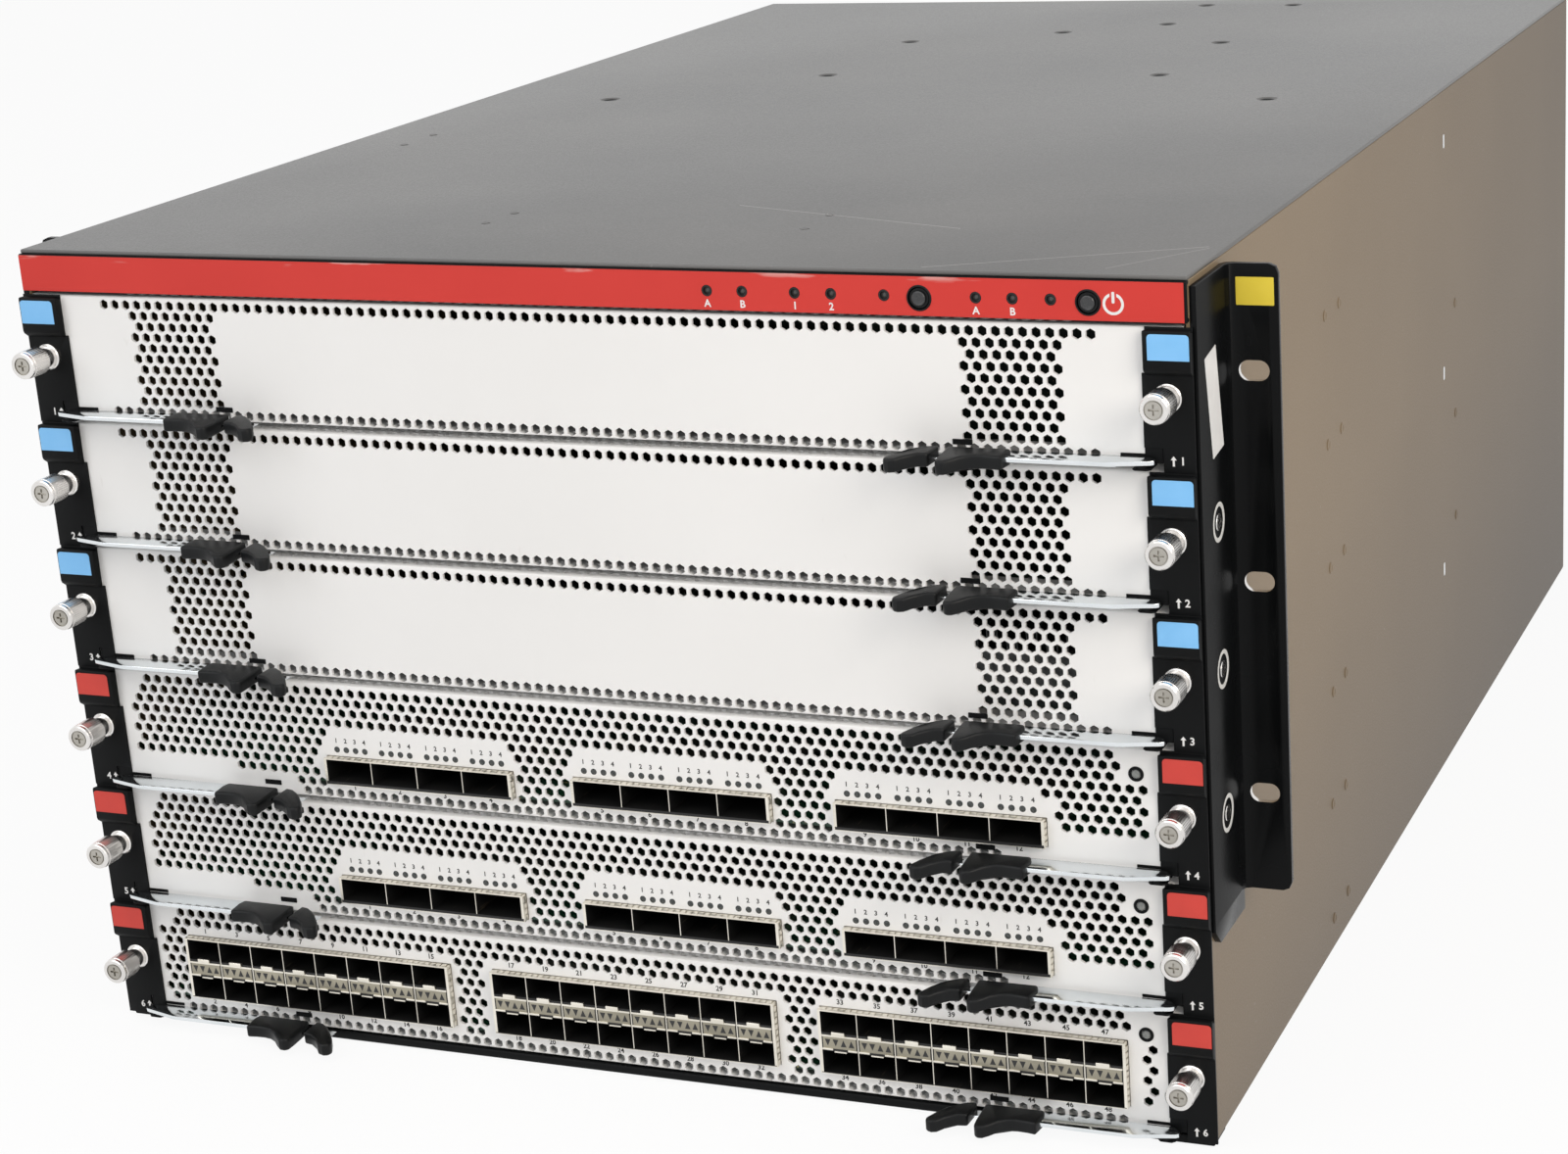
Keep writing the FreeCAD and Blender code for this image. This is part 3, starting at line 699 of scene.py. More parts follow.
def share_out(model, name, slot, cards=CARDS, node=None, smooth=30):
    """Gives each card its copy of a piece that was made on the first card."""
    for card in cards:
        nodes = [f"{node}_{card}"] if node else []
        twin = copy_piece(model, lowered(card))
        fit(twin, f"{name}_{card}", f"card_{card}", slot, *nodes, smooth=smooth)
    discard(model)


def fit_sides(piece, name, slot, node=None):
    """Fits a piece made for the right of the chassis, and its mirror image on the left."""
    mate = mirror_piece(piece)
    for side, model in (("right", piece), ("left", mate)):
        nodes = [f"{node}_{side}"] if node else []
        fit(model, f"{name}_{side}", "chassis", slot, *nodes)


def make_cross(middle, reach, half, far, bar_floor, upright_floor):
    """A tool for a cross recess, from a far end in front down to each bar's own floor."""
    bar = add_block(
        middle + Vector((-reach, -far, -half)) * MM, middle + Vector((reach, -bar_floor, half)) * MM)
    upright = add_block(
        middle + Vector((-half, -far - 0.01, -reach)) * MM,
        middle + Vector((half, -upright_floor, reach)) * MM)
    return weld_on(bar, upright)


def face_right(piece, x, depth, up):
    """Turns a piece made at the origin to the right and sets it on a wall."""
    piece.rotation_euler = (0, 0, math.pi / 2)
    piece.location = at(x, depth, up)
    return settle(piece)


# Chassis shell and lid

def make_shell():
    """A folded tray: floor and sides with rounded bends, and a black lip along its front."""
    low = at(-HALF, SHEET, 0)
    high = at(HALF, DEPTH, TOP - SHEET)
    tray = add_block(low, high)
    drop_faces(tray, lambda middle, normal: normal.z > 0.5 or abs(normal.y) > 0.5)
    round_edges(tray, lambda a, b: max(a.z, b.z) < low.z + MM and abs(a.x - b.x) < MM, 2.0)
    thicken(tray, SHEET)
    soften(tray, 0.25, 1)
    dress([tray], SIDE_SHEEN_COAT, "chassis_tray", "chassis", "black_paint", "chassis_shell")
    lip = add_block(at(-HALF + 0.2, 0.2, 0.1), at(HALF - 0.2, 14, 3.4))
    soften(lip, 0.7, 3)
    dress([lip], BRACKET, "floor_lip", "chassis", "black_paint")


# Places on the side wall: distance behind the card fronts and height.
RIVETS = [
    (173, 255), (195, 255), (175, 205), (196, 206), (175, 156.5), (197, 157), (176, 106), (196, 107),
    (172, 61), (193, 61), (171, 13), (194, 15), (404, 208.6), (404, 158.6), (404, 111.1),
]
SIDE_SLOTS = [(382, 284), (380, 182.5), (378, 93.4)]
RIVET_PROFILE = [(-0.4, 2.3), (0.1, 2.3), (0.3, 1.7), (0.18, 1.2)]


def make_side_rivets():
    """Flush rivets and small bright zinc inserts in both side walls, the inserts standing as painted
    light for the glints in small cut-outs.
    """
    rivets = gather([
        face_right(turn_piece(ORIGIN, RIVET_PROFILE, 16), HALF, depth, up) for depth, up in RIVETS])
    paint(rivets, SIDE_SHEEN_COAT)
    fit_sides(rivets, "rivets", "black_paint")
    # Bright zinc inserts as painted light: the glints in the walls' small cut-outs.
    slots = []
    for depth, up in SIDE_SLOTS:
        slot = add_block(at(HALF - 0.5, depth - 1.2, up - 3), at(HALF + 0.06, depth + 1.2, up + 3))
        round_edges(slot, runs("x"), 1.0)
        slots.append(slot)
    slots = paint(gather(slots), ZINC)
    fit_sides(slots, "wall_slot_glints", "zinc_steel")


# Places on the lid: x and distance behind the card fronts.
TOP_DIMPLES = [
    (-154.9, 344.8), (-77.4, 417.1), (-78.8, 526.9), (-8.6, 558.0), (84.9, 417.9), (84.3, 520.2),
    (153.1, 351.1), (37.7, 586.1), (37.4, 657.5), (84.4, 656.2),
]
TOP_RIVETS = [(-191.5, 247.6), (-191.5, 223), (-62, 81.6), (-63.8, 62.9), (63.3, 63), (62.4, 87.8)]


def make_cover():
    """The lid with pressed dimples for its screws, and small rivets."""
    cover = add_block(at(-HALF, 0, TOP - SHEET), at(HALF, DEPTH, TOP))
    soften(cover, 0.5, 3)
    dishes = []
    screws = []
    for x, depth in TOP_DIMPLES:
        spot = at(x, depth, TOP)
        dish = add_rod(spot, 6.4, 2.0, "z", 24)
        pick_faces(dish, lambda middle, normal: normal.z < -0.5)
        bpy.ops.transform.resize(value=(0.5, 0.5, 1), center_override=spot)
        close_edit()
        dishes.append(dish)
        screw = add_rod(at(x, depth, TOP - 0.8), 3.0, 0.9, "z", 20)
        inset_faces(screw, faces_up, 0.5, -0.1)
        inset_faces(screw, lambda middle, normal: normal.z > 0.9, 1.2, 0.35)
        screws.append(screw)
    cut_with(cover, gather(dishes))
    dress([cover], SHEEN_COAT, "lid", "chassis", "black_paint", "top_cover")
    heads = soften(gather(screws), 0.15, 1)
    dress([heads], BRACKET, "lid_screws", "chassis", "black_paint")
    rivets = []
    for x, depth in TOP_RIVETS:
        rivet = add_rod(at(x, depth, TOP + 0.02), 1.7, 0.3, "z", 16)
        inset_faces(rivet, faces_up, 0.7, 0.18)
        rivets.append(rivet)
    dress(rivets, SHEEN_COAT, "lid_rivets", "chassis", "black_paint")


# Banner

# Each lamp's place across, with its mark.
BANNER_LAMPS = {
    54.5: "A", 67.4: "B", 86.5: "1", 99.6: "2", 118.5: "", 150.6: "A", 163.2: "B", 176.3: "",
}
LAMP_HEIGHT = 298.6
MARK_HEIGHT = 294.2
BANNER_PROUD = 1.0
BANNER_DROP = 1.0
FILM_WALL = 0.16
BUTTON_SHIFT = Vector((-0.7, 0, -1.2))
POWER_SIGN_X = 197.5

# Turned profiles: distance in front of the banner, radius.
LAMP_PROFILE = [
    (-2.0, 1.96), (-0.5, 1.96), (0.1, 1.85), (0.1, 1.45), (-0.7, 1.3), (-0.7, 1.0), (-0.4, 0.5),
]
LENS_RADIUS = 0.95
LAMP_HOLE = 2.0
COLLAR_PROFILE = [(-1.4, 4.4), (0.2, 4.4), (0.5, 4.15), (0.5, 3.95)]
CAP_PROFILE = [(-3.0, 3.6), (-0.2, 3.6), (0.1, 3.3), (0.1, 2.5), (0.8, 2.4), (1.0, 2.1), (0.8, 1.0)]
CAP_BOSS = 2.42
BUTTON_HOLE = 3.9
HOLE_LENGTH = 8


def make_banner():
    """The black channel above the cards with its red film, lamps and buttons."""
    floor = BANNER_FLOOR - BANNER_DROP
    buttons = {}
    for name in ("alarm_button", "power_button"):
        low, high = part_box(name)
        buttons[name] = (low + high) / 2 / MM + BUTTON_SHIFT
    channel = add_block(at(-HALF - 0.4, -BANNER_PROUD, floor), at(HALF - 0.2, 16, BANNER_TOP))
    drop_faces(channel, rear_or_end)
    thicken(channel, SHEET)
    soften(channel, 0.4, 2)
    film = add_block(
        at(-HALF - 0.3, -BANNER_PROUD - FILM_WALL, floor + 0.2),
        at(HALF - 1.0, 0.1 - BANNER_PROUD, BANNER_TOP - 0.4))
    soften(film, 0.06, 1)
    holes = [add_rod(at(x, 0, LAMP_HEIGHT), LAMP_HOLE, HOLE_LENGTH, sides=24) for x in BANNER_LAMPS]
    for middle in buttons.values():
        holes.append(add_rod(at(middle.x, 0, middle.z), BUTTON_HOLE, HOLE_LENGTH, sides=32))
    holes = gather(holes)
    cut_with(channel, copy_piece(holes))
    cut_with(film, holes)
    dress([channel], BRACKET, "banner_channel", "chassis", "black_paint", "front_banner")
    dress([film], RED, "banner_film", "chassis", "red_banner")

    lenses = []
    for x in BANNER_LAMPS:
        spot = at(x, -BANNER_PROUD, LAMP_HEIGHT)
        lens = paint(turn_piece(spot, LAMP_PROFILE, 24), SHADOW, DARK_LENS)
        paint_where(lens, 1, within(spot, LENS_RADIUS))
        lenses.append(lens)
    fit(gather(lenses), "banner_lamps", "chassis", "black_plastic")
    collars = []
    for name, middle in buttons.items():
        spot = at(middle.x, -BANNER_PROUD, middle.z)
        collar = turn_piece(spot, COLLAR_PROFILE, 40)
        cut_with(collar, add_rod(spot, 3.8, 12, sides=40))
        collars.append(collar)
        cap = paint(turn_piece(spot, CAP_PROFILE, 40), MOULDING, BUTTON)
        paint_where(cap, 1, within(spot, CAP_BOSS))
        fit(cap, f"{name}_cap", name, "grey_button", name)
    dress(collars, MOULDING, "button_collars", "chassis", "black_plastic")

    face = -BANNER_PROUD - FILM_WALL - 0.01
    signs = [
        add_sign(mark, at(x, face, MARK_HEIGHT), 2.6) for x, mark in BANNER_LAMPS.items() if mark]
    signs.append(make_power_sign(at(POWER_SIGN_X, face, buttons["power_button"].z - 0.3)))
    dress(signs, WHITE_INK, "banner_signs", "chassis", "white_paint", smooth=0)


def make_power_sign(spot):
    """The usual open ring with a bar at its top."""
    ring = add_rod(spot, 3.6, 0.04, sides=40)
    cut_with(ring, add_rod(spot, 2.65, 4, sides=40))
    gap = Vector((1.15, 4, 2.4)) * MM
    gap_middle = spot + Vector((0, 0, 3.0)) * MM
    cut_with(ring, add_block(gap_middle - gap, gap_middle + gap))
    half = Vector((0.5, 0.02, 1.9)) * MM
    bar_middle = spot + Vector((0, 0, 2.1)) * MM
    bar = add_block(bar_middle - half, bar_middle + half)
    round_edges(bar, runs("y"), 0.4, 3)
    return gather([ring, bar])


# Rack ears

EAR_SLOTS = (267.6, 194.575, 118.375)
EAR_WALL = 2.2
EAR_STEP = 8.0
EAR_CORNER = 3.2
SLOT_INSET = 8.75
SLOT_HALF = (5.25, 3.5)
RIM_PROFILE = [(-0.4, 6.8), (0.16, 6.8), (0.26, 6.4), (0.22, 5.4), (-0.3, 5.0)]
HEAD_PROFILE = [(0.02, 2.9), (0.25, 2.7), (0.35, 2.0)]

# Places on the ear's side: distance behind the card fronts and height.
LABEL_CORNERS = [(8.8, 278.0), (15.3, 243.0), (27.9, 244.6), (21.5, 280.0)]
EAR_SCREWS = [(19.2, 220.5), (19.2, 169.2), (19.8, 117.2)]


def make_ears():
    """Angle plates with rounded bends, open slots, countersunk screws and two bare stickers."""
    low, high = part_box("rack_ear_right")
    outer = high.x / MM
    inner = low.x / MM
    top = high.z / MM
    foot = low.z / MM
    back = (high.y - FRONT) / MM
    floor = foot + EAR_STEP
    skin = inner + EAR_WALL
    face = back - EAR_WALL
    bend = [(skin, face - 3.0), (skin + 0.9, face - 0.9), (skin + 3.0, face)]
    rear_bend = [(inner + 3.4, back), (inner + 1.0, back - 1.0), (inner, back - 3.4)]
    plan = [(inner, SHEET), (skin, SHEET)] + bend + [(outer, face), (outer, back)] + rear_bend
    ear = draw_plate(plan, "xy", floor, top)
    round_edges(
        ear, lambda a, b: min(a.x, b.x) > (outer - 0.1) * MM and abs(a.z - b.z) < LEVEL,
        EAR_CORNER, 2)
    side = [
        (SHEET, foot + 6), (7.5, foot), (back - 2, foot), (back - 2, floor + 4), (SHEET, floor + 4)]
    weld_on(ear, draw_plate(side, "yz", inner, skin))
    slot_middle = outer - SLOT_INSET
    wide, tall = SLOT_HALF
    for up in EAR_SLOTS:
        slot = add_block(
            at(slot_middle - wide, back - 8, up - tall), at(slot_middle + wide, back + 4, up + tall))
        round_edges(slot, runs("y"), tall - 0.05, 6)
        cut_with(ear, slot)
    soften(ear, 0.25, 2)
    paint(ear, EAR_GLOSS, NICKEL)

    def in_slot(middle, normal):
        across = abs(middle.x / MM - slot_middle) < wide + 0.35 and abs(normal.y) < 0.3
        return across and any(abs(middle.z / MM - up) < tall + 0.4 for up in EAR_SLOTS)

    paint_where(ear, 1, in_slot)
    fit_sides(ear, "ear", "black_paint", "rack_ear")

    rims = []
    heads = []
    for depth, up in EAR_SCREWS:
        rims.append(face_right(turn_piece(ORIGIN, RIM_PROFILE, 36), skin, depth, up))
        head = turn_piece(ORIGIN, HEAD_PROFILE, 24)
        cut_with(head, make_cross(ORIGIN, 2.1, 0.5, 2, 0, -0.01))
        heads.append(face_right(head, skin, depth, up))
    rims = paint(gather(rims), BARE_RIM, BRACKET)
    paint_where(rims, 1, lambda middle, normal: middle.x < (skin - 0.1) * MM)
    fit_sides(rims, "ear_screw_rims", "nickel_screw")
    heads = paint(gather(heads), NICKEL)
    fit_sides(heads, "ear_screw_heads", "nickel_screw")

    flag = add_block(at(227.0, face - 0.14, 289.6), at(239.9, face, 299.0))
    round_edges(flag, runs("y"), 0.3, 2)
    dress([flag], YELLOW_STICKER, "yellow_ear_sticker", "chassis", "white_paint")
    strip = draw_plate(LABEL_CORNERS, "yz", skin - 0.02, skin + 0.12)
    round_edges(strip, runs("x"), 0.3, 2)
    dress([strip], WHITE_STICKER, "white_ear_sticker", "chassis", "white_paint")


# Card fronts

HOLE_FLATS = 3.35
HOLE_PITCH = 4.664
ROW_PITCH = 3.99
TOP_ROW_DROP = 3.2
FIRST_HOLE = -188.8
HOLE_ROWS = 11
HOLE_COLUMNS = 92
FOLD_WALL = 1.2
FOLD_DEPTH = 16
FOLD_HOLES = 78
FOLD_HOLE_PLACE = (-179.5, 4.6)
FOLD_HOLE_RADIUS = 1.7
FOLD_ROW_PITCH = 4.0
CAGE_ROOM = 0.3

# Zones of holes: first row, last row, left end, right end.
BLANK_ZONES = [(0, 0, -190, 190), (1, 9, -178.5, -144), (1, 9, 144, 178.5), (10, 10, -190, 190)]
QUAD_ZONES = [
    (0, 0, -194.5, 190.5), (1, 1, -197, 193), (2, 2, -199.5, 190.5), (3, 3, -202, 202),
    (4, 4, -199.5, -118), (5, 6, -202, -120), (7, 7, -202, -124.5), (8, 8, -157.5, -122),
    (9, 9, -132, -120), (4, 4, -40, -15), (5, 9, -38, -17.5), (4, 4, 63, 87.5), (5, 9, 65, 85.5),
    (4, 4, 165.5, 200), (5, 7, 168, 202), (10, 10, -130, 151),
]
STACK_ZONES = [
    (0, 0, -194.5, 190.5), (1, 1, -197, 193), (2, 9, -203, -192.5), (2, 9, -73, -62), (2, 9, 63, 73.5),
    (3, 8, 196, 202), (10, 10, -196, 190.5),
]

# Port cages: their middles across the card, floor, size, and the ports' pitch, columns and rows.
Cages = namedtuple("Cages", "middles floor width height pitch columns rows")
QUAD = Cages((-78.7, 24.0, 126.7), 6.8, 78.0, 10.2, 19.05, 4, [(1.25, 9.8)])
STACK = Cages((-133.2, 0.6, 133.6), 7.8, 115.8, 25.0, 14.25, 8, [(0.5, 9.3), (16.2, 24.5)])


def hole_runs(zones):
    """Each row's unbroken runs of holes: its height, its first hole and how many."""
    found = []
    for row in range(HOLE_ROWS):
        up = CARD_HEIGHT - TOP_ROW_DROP - row * ROW_PITCH
        start = FIRST_HOLE - 4 * HOLE_PITCH + (row % 2) * HOLE_PITCH / 2
        first, count = None, 0
        for number in range(HOLE_COLUMNS):
            x = start + number * HOLE_PITCH
            inside = any(top <= row <= foot and left <= x <= right for top, foot, left, right in zones)
            if inside and first is None:
                first = x
            count += inside
            if first is not None and (not inside or number == HOLE_COLUMNS - 1):
                found.append((up, first, count))
                first, count = None, 0
    return found


def punch_holes(plate, zones):
    """Punches a field of six-sided holes, run by run, through a card's front wall."""
    tools = []
    for up, first, count in hole_runs(zones):
        tool = add_rod(on_card(first, 0.6, up), HOLE_FLATS / math.sqrt(3), 6, sides=6)
        tools.append(repeat_along(tool, count, (HOLE_PITCH * MM, 0, 0)))
    cut_with(plate, gather(tools))


def fold_plate():
    """A card front folded back along its top and bottom, with two rows of holes in its top."""
    plate = add_block(on_card(-PLATE_HALF, 0, 0), on_card(PLATE_HALF, FOLD_DEPTH, CARD_HEIGHT))
    drop_faces(plate, rear_or_end)
    round_edges(
        plate, lambda a, b: max(a.y, b.y) < FRONT + 0.1 * MM and abs(a.z - b.z) < LEVEL, 1.0, 3)
    thicken(plate, FOLD_WALL)
    row = add_rod(
        on_card(*FOLD_HOLE_PLACE, CARD_HEIGHT), FOLD_HOLE_RADIUS, 4, "z", 6, math.pi / 6)
    repeat_along(row, FOLD_HOLES, (HOLE_PITCH * MM, 0, 0))
    next_row = copy_piece(row, Vector((HOLE_PITCH / 2, FOLD_ROW_PITCH, 0)) * MM)
    cut_with(plate, gather([row, next_row]))
    return plate


def make_faceplates():
    """Blank, four-way and stacked card fronts."""
    blank = fold_plate()
    quad = copy_piece(blank)
    stack = copy_piece(blank)
    punch_holes(blank, BLANK_ZONES)
    punch_holes(quad, QUAD_ZONES)
    punch_holes(stack, STACK_ZONES)
    for plate, kind in ((quad, QUAD), (stack, STACK)):
        reach = kind.width / 2 + CAGE_ROOM
        for middle in kind.middles:
            cut_with(plate, add_block(
                on_card(middle - reach, -3, kind.floor - CAGE_ROOM),
                on_card(middle + reach, 4, kind.floor + kind.height + CAGE_ROOM)))
    for plate, cards in ((blank, BLANK_CARDS), (quad, QUAD_CARDS), (stack, (STACK_CARD,))):
        share_out(paint(plate, WHITE), "card_front", "white_paint", cards, "faceplate")


SEAT_TAB = [(203.4, -6.4), (204.4, -7.4), (208.6, -7.4), (209.8, -6.2), (209.8, 1.0), (203.4, 1.0)]

# Two corners each of the backing, a dark bar of painted shade standing for the slot by the grip, and the
# stop behind a lever.
SEAT_BARS = [
    ((206.0, -0.4, 0.1), (212.2, 0.2, 5.8)),
    ((139.4, -0.35, 3.5), (146.4, 0.2, 5.4)),
    ((197.6, -0.3, 2.0), (206.4, 0.2, 3.2)),
]


def make_lever_seats():
    """Dark tabs under the levers with a pin each, and a backing behind them."""
    base = CARD_FLOOR[1]
    bars = [draw_plate(SEAT_TAB, "xy", base - 0.7, base - 0.1)]
    bars += [add_block(on_card(*low), on_card(*high)) for low, high in SEAT_BARS]
    for bar in bars:
        soften(bar, 0.15, 1)
    pin = add_rod(on_card(206.4, -5.2, 0.4), 2.0, 1.2, "z", 20)
    inset_faces(pin, faces_up, 0.3, -0.1)
    seat = paint(gather(bars + [pin]), BRACKET)
    share_out(both_sides(seat), "lever_seats", "black_bracket")


# Brackets, stickers and thumbscrews

BRACKET_OUTER = 223.2
BRACKET_INNER = 206.0
TAB_INNER = 207.3
TAB_FLOOR = 29.5


def make_brackets():
    """Black end brackets with a proud tab for the sticker and a joggle above the screw."""
    top = CARD_HEIGHT - 0.6
    base = CARD_FLOOR[1]
    section = [
        (-0.02, TAB_FLOOR), (-0.02, top), (-2.6, top), (-3.2, top - 0.3), (-3.4, top - 0.9),
        (-3.4, 32.2), (-3.0, 31.2), (-1.3, 29.9), (-0.9, TAB_FLOOR),
    ]
    bracket = draw_plate(
        [(depth, base + up) for depth, up in section], "yz", TAB_INNER, BRACKET_OUTER)
    to_rear = runs("y")
    round_edges(
        bracket,
        lambda a, b: to_rear(a, b) and a.z > (base + top - 1) * MM and abs(a.y - b.y) > MM
        and max(a.y, b.y) > FRONT - 2.7 * MM,
        1.4, 4)
    for low, high in (
            ((BRACKET_INNER, -0.9, 5.4), (BRACKET_OUTER, -0.02, TAB_FLOOR + 0.6)),
            ((BRACKET_OUTER - 10.8, -0.9, -2.65), (BRACKET_OUTER, -0.02, 6.4)),
            ((TAB_INNER, -0.5, top - 2.0), (BRACKET_OUTER, -0.02, CARD_HEIGHT - 0.02))):
        weld_on(bracket, add_block(on_card(*low), on_card(*high)))
    soften(bracket, 0.3, 2)
    paint(bracket, BRACKET)
    share_out(both_sides(bracket), "end_brackets", "black_bracket", node="card_brackets")
    sticker = add_block(on_card(208.9, -3.52, 35.0), on_card(222.9, -3.35, 43.6))
    round_edges(sticker, lambda a, b: to_rear(a, b) and a.z > (base + 43.4) * MM, 1.3, 4)
    stickers = both_sides(sticker)
    for card in CARDS:
        label = copy_piece(stickers, lowered(card))
        paint(label, BLUE_STICKER if card in BLANK_CARDS else RED_STICKER)
        fit(label, f"slot_stickers_{card}", f"card_{card}", "black_bracket")
    discard(stickers)


NUMBER_HEIGHT = 1.2
ARROW = [(-0.35, -1.7), (0.35, -1.7), (0.35, 0.4), (1.0, 0.4), (0, 1.7), (-1.0, 0.4), (-0.35, 0.4)]

# The arrow's and the number's places across, on the right and on the left.
SLOT_SIGNS = [(215.8, 218.9), (-213.4, -216.4)]


def make_slot_numbers():
    """A small arrow and the slot's number on each end bracket."""
    for card in CARDS:
        up = CARD_FLOOR[card] + NUMBER_HEIGHT
        signs = []
        for arrow_x, number_x in SLOT_SIGNS:
            signs.append(draw_plate([(arrow_x + x, up + z) for x, z in ARROW], "xz", -0.96, -0.88))
            signs.append(add_sign(str(card), at(number_x, -0.93, up), 2.7))
        dress(signs, WHITE_INK, f"slot_numbers_{card}", f"card_{card}", "white_paint", smooth=0)


# The thumbscrew's place on a card, and its turned profiles: distance in front of the card, radius.
SCREW_PLACE = (214.8, 0, 22.4)
NECK_PROFILE = [(0.7, 4.8), (2.3, 4.8), (2.7, 4.4), (2.7, 3.7), (7.8, 3.7)]
KNOB_PROFILE = [(7.4, 4.5), (7.8, 4.95), (15.9, 4.95)]
FACE_PROFILE = [
    (15.6, 4.7), (16.3, 5.0), (17.2, 4.9), (17.6, 4.5), (17.6, 3.3), (17.15, 3.2), (17.15, 2.9),
    (17.5, 2.8),
]


def make_thumbscrews():
    """Captive screws: a ferrule, a slim neck and a knurled knob with a cross recess."""
    spot = on_card(*SCREW_PLACE)
    neck = turn_piece(spot, NECK_PROFILE, 32)
    knob = turn_piece(spot, KNOB_PROFILE, 44)
    inset_faces(knob, round_wall, 0.12, -0.16, each=True)
    face = turn_piece(spot, FACE_PROFILE, 40)
    cut_with(face, make_cross(spot, 1.8, 0.35, 19, 16.6, 16.7))
    screw = paint(gather([neck, knob, face]), NICKEL, WORN_NICKEL)
    inner = within(spot, 3.25)
    paint_where(
        screw, 1, lambda middle, normal: middle.y < spot.y - 16.4 * MM and inner(middle, normal))
    share_out(both_sides(screw), "captive_screws", "nickel_screw", node="thumbscrews", smooth=25)


# Levers

ARM_PLAN = [
    (140, -10.8), (195.8, -10.8), (210.0, -7.2), (210.9, -6.4), (210.9, -5.0), (208.6, -2.4),
    (206.8, -1.7), (140, -1.7),
]
GRIP_PLAN = [
    (160.8, -3.0), (161.6, -6.5), (160.8, -13.4), (157.4, -12.8), (153.8, -12.6), (150.4, -13.2),
    (147.4, -14.9), (145.0, -17.2), (142.8, -18.9), (140.8, -19.1), (139.4, -17.8), (139.0, -14.0),
    (138.8, -3.2),
]
TRIGGER_PLAN = [
    (135.6, -2.8), (135.4, -13.0), (131.8, -13.7), (128.0, -16.2), (125.8, -18.6), (123.6, -19.2),
    (121.6, -18.5), (121.0, -16.4), (123.2, -12.4), (126.4, -8.7), (129.2, -5.8), (132.2, -3.6),
]
STRIP_PLAN = [(126.5, -8.2), (198.4, -8.2), (198.4, -3.8), (126.5, -3.8)]
TIP_REACH = 3.2
TIP_DROP = 0.9
DROOP_REACH = 9


def droop(piece, spot):
    """Draws a moulding's hooked tip down with a soft falloff."""
    only(piece)
    open_edit("VERT")
    bpy.ops.mesh.select_all(action="DESELECT")
    close_edit()
    for corner in piece.data.vertices:
        corner.select = (corner.co - spot).length < TIP_REACH * MM
    open_edit("VERT")
    bpy.ops.transform.translate(
        value=(0, 0, -TIP_DROP * MM), use_proportional_edit=True,
        proportional_edit_falloff="SMOOTH", proportional_size=DROOP_REACH * MM)
    close_edit()


def make_moulding(plan, tip):
    """A moulded finger piece: its plan drawn out, its edges well rounded, its hook drooping."""
    base = CARD_FLOOR[1]
    piece = draw_plate(plan, "xy", base - 1.1, base + 3.8)
    soften(piece, 1.0, 4)
    droop(piece, on_card(*tip, 1.3))
    return paint(piece, MOULDING)


def make_levers():
    """Bright lever arms with hooked grips, and the triggers with their latch strips."""
    base = CARD_FLOOR[1]
    arm = paint(soften(draw_plate(ARM_PLAN, "xy", base + 1.2, base + 2.7), 0.2, 2), ZINC)
    strip = paint(soften(draw_plate(STRIP_PLAN, "xy", base + 0.4, base + 0.9), 0.15, 1), ZINC)
    grip = make_moulding(GRIP_PLAN, (139.5, -18))
    cut_with(grip, add_block(on_card(130, -8.8, 0.2), on_card(170, -3.2, 1.15)))
    finger = make_moulding(TRIGGER_PLAN, (122.0, -18))
    for piece, moving, name, slot in (
            (arm, "lever", "arm", "zinc_steel"), (grip, "lever", "grip", "black_plastic"),
            (strip, "trigger", "strip", "zinc_steel"), (finger, "trigger", "finger", "black_plastic")):
        mate = mirror_piece(piece)
        for side, model in (("right", piece), ("left", mate)):
            for card in CARDS:
                fit(copy_piece(model, lowered(card)), f"{moving}_{name}_{side}_{card}",
                    f"{side}_{moving}_{card}", slot, f"{moving}_{side}_{card}")
        discard(piece, mate)


# Port cages

CAGE_PROUD = 2.8
CAGE_BACK = 52.0
CAGE_WALL = 0.32
FINGER_PITCH = 2.38
FINGER_WIDTH = 1.9
FINGER_ARCH = [
    (-2.8, 0.02), (-2.1, 0.26), (-1.2, 0.36), (-0.3, 0.2), (-0.3, 0.05), (-1.2, 0.2), (-2.1, 0.1),
    (-2.75, -0.1),
]


def port_left(kind, middle, column=0):
    """Where a column of ports begins across the card."""
    return middle + (column - kind.columns / 2) * kind.pitch


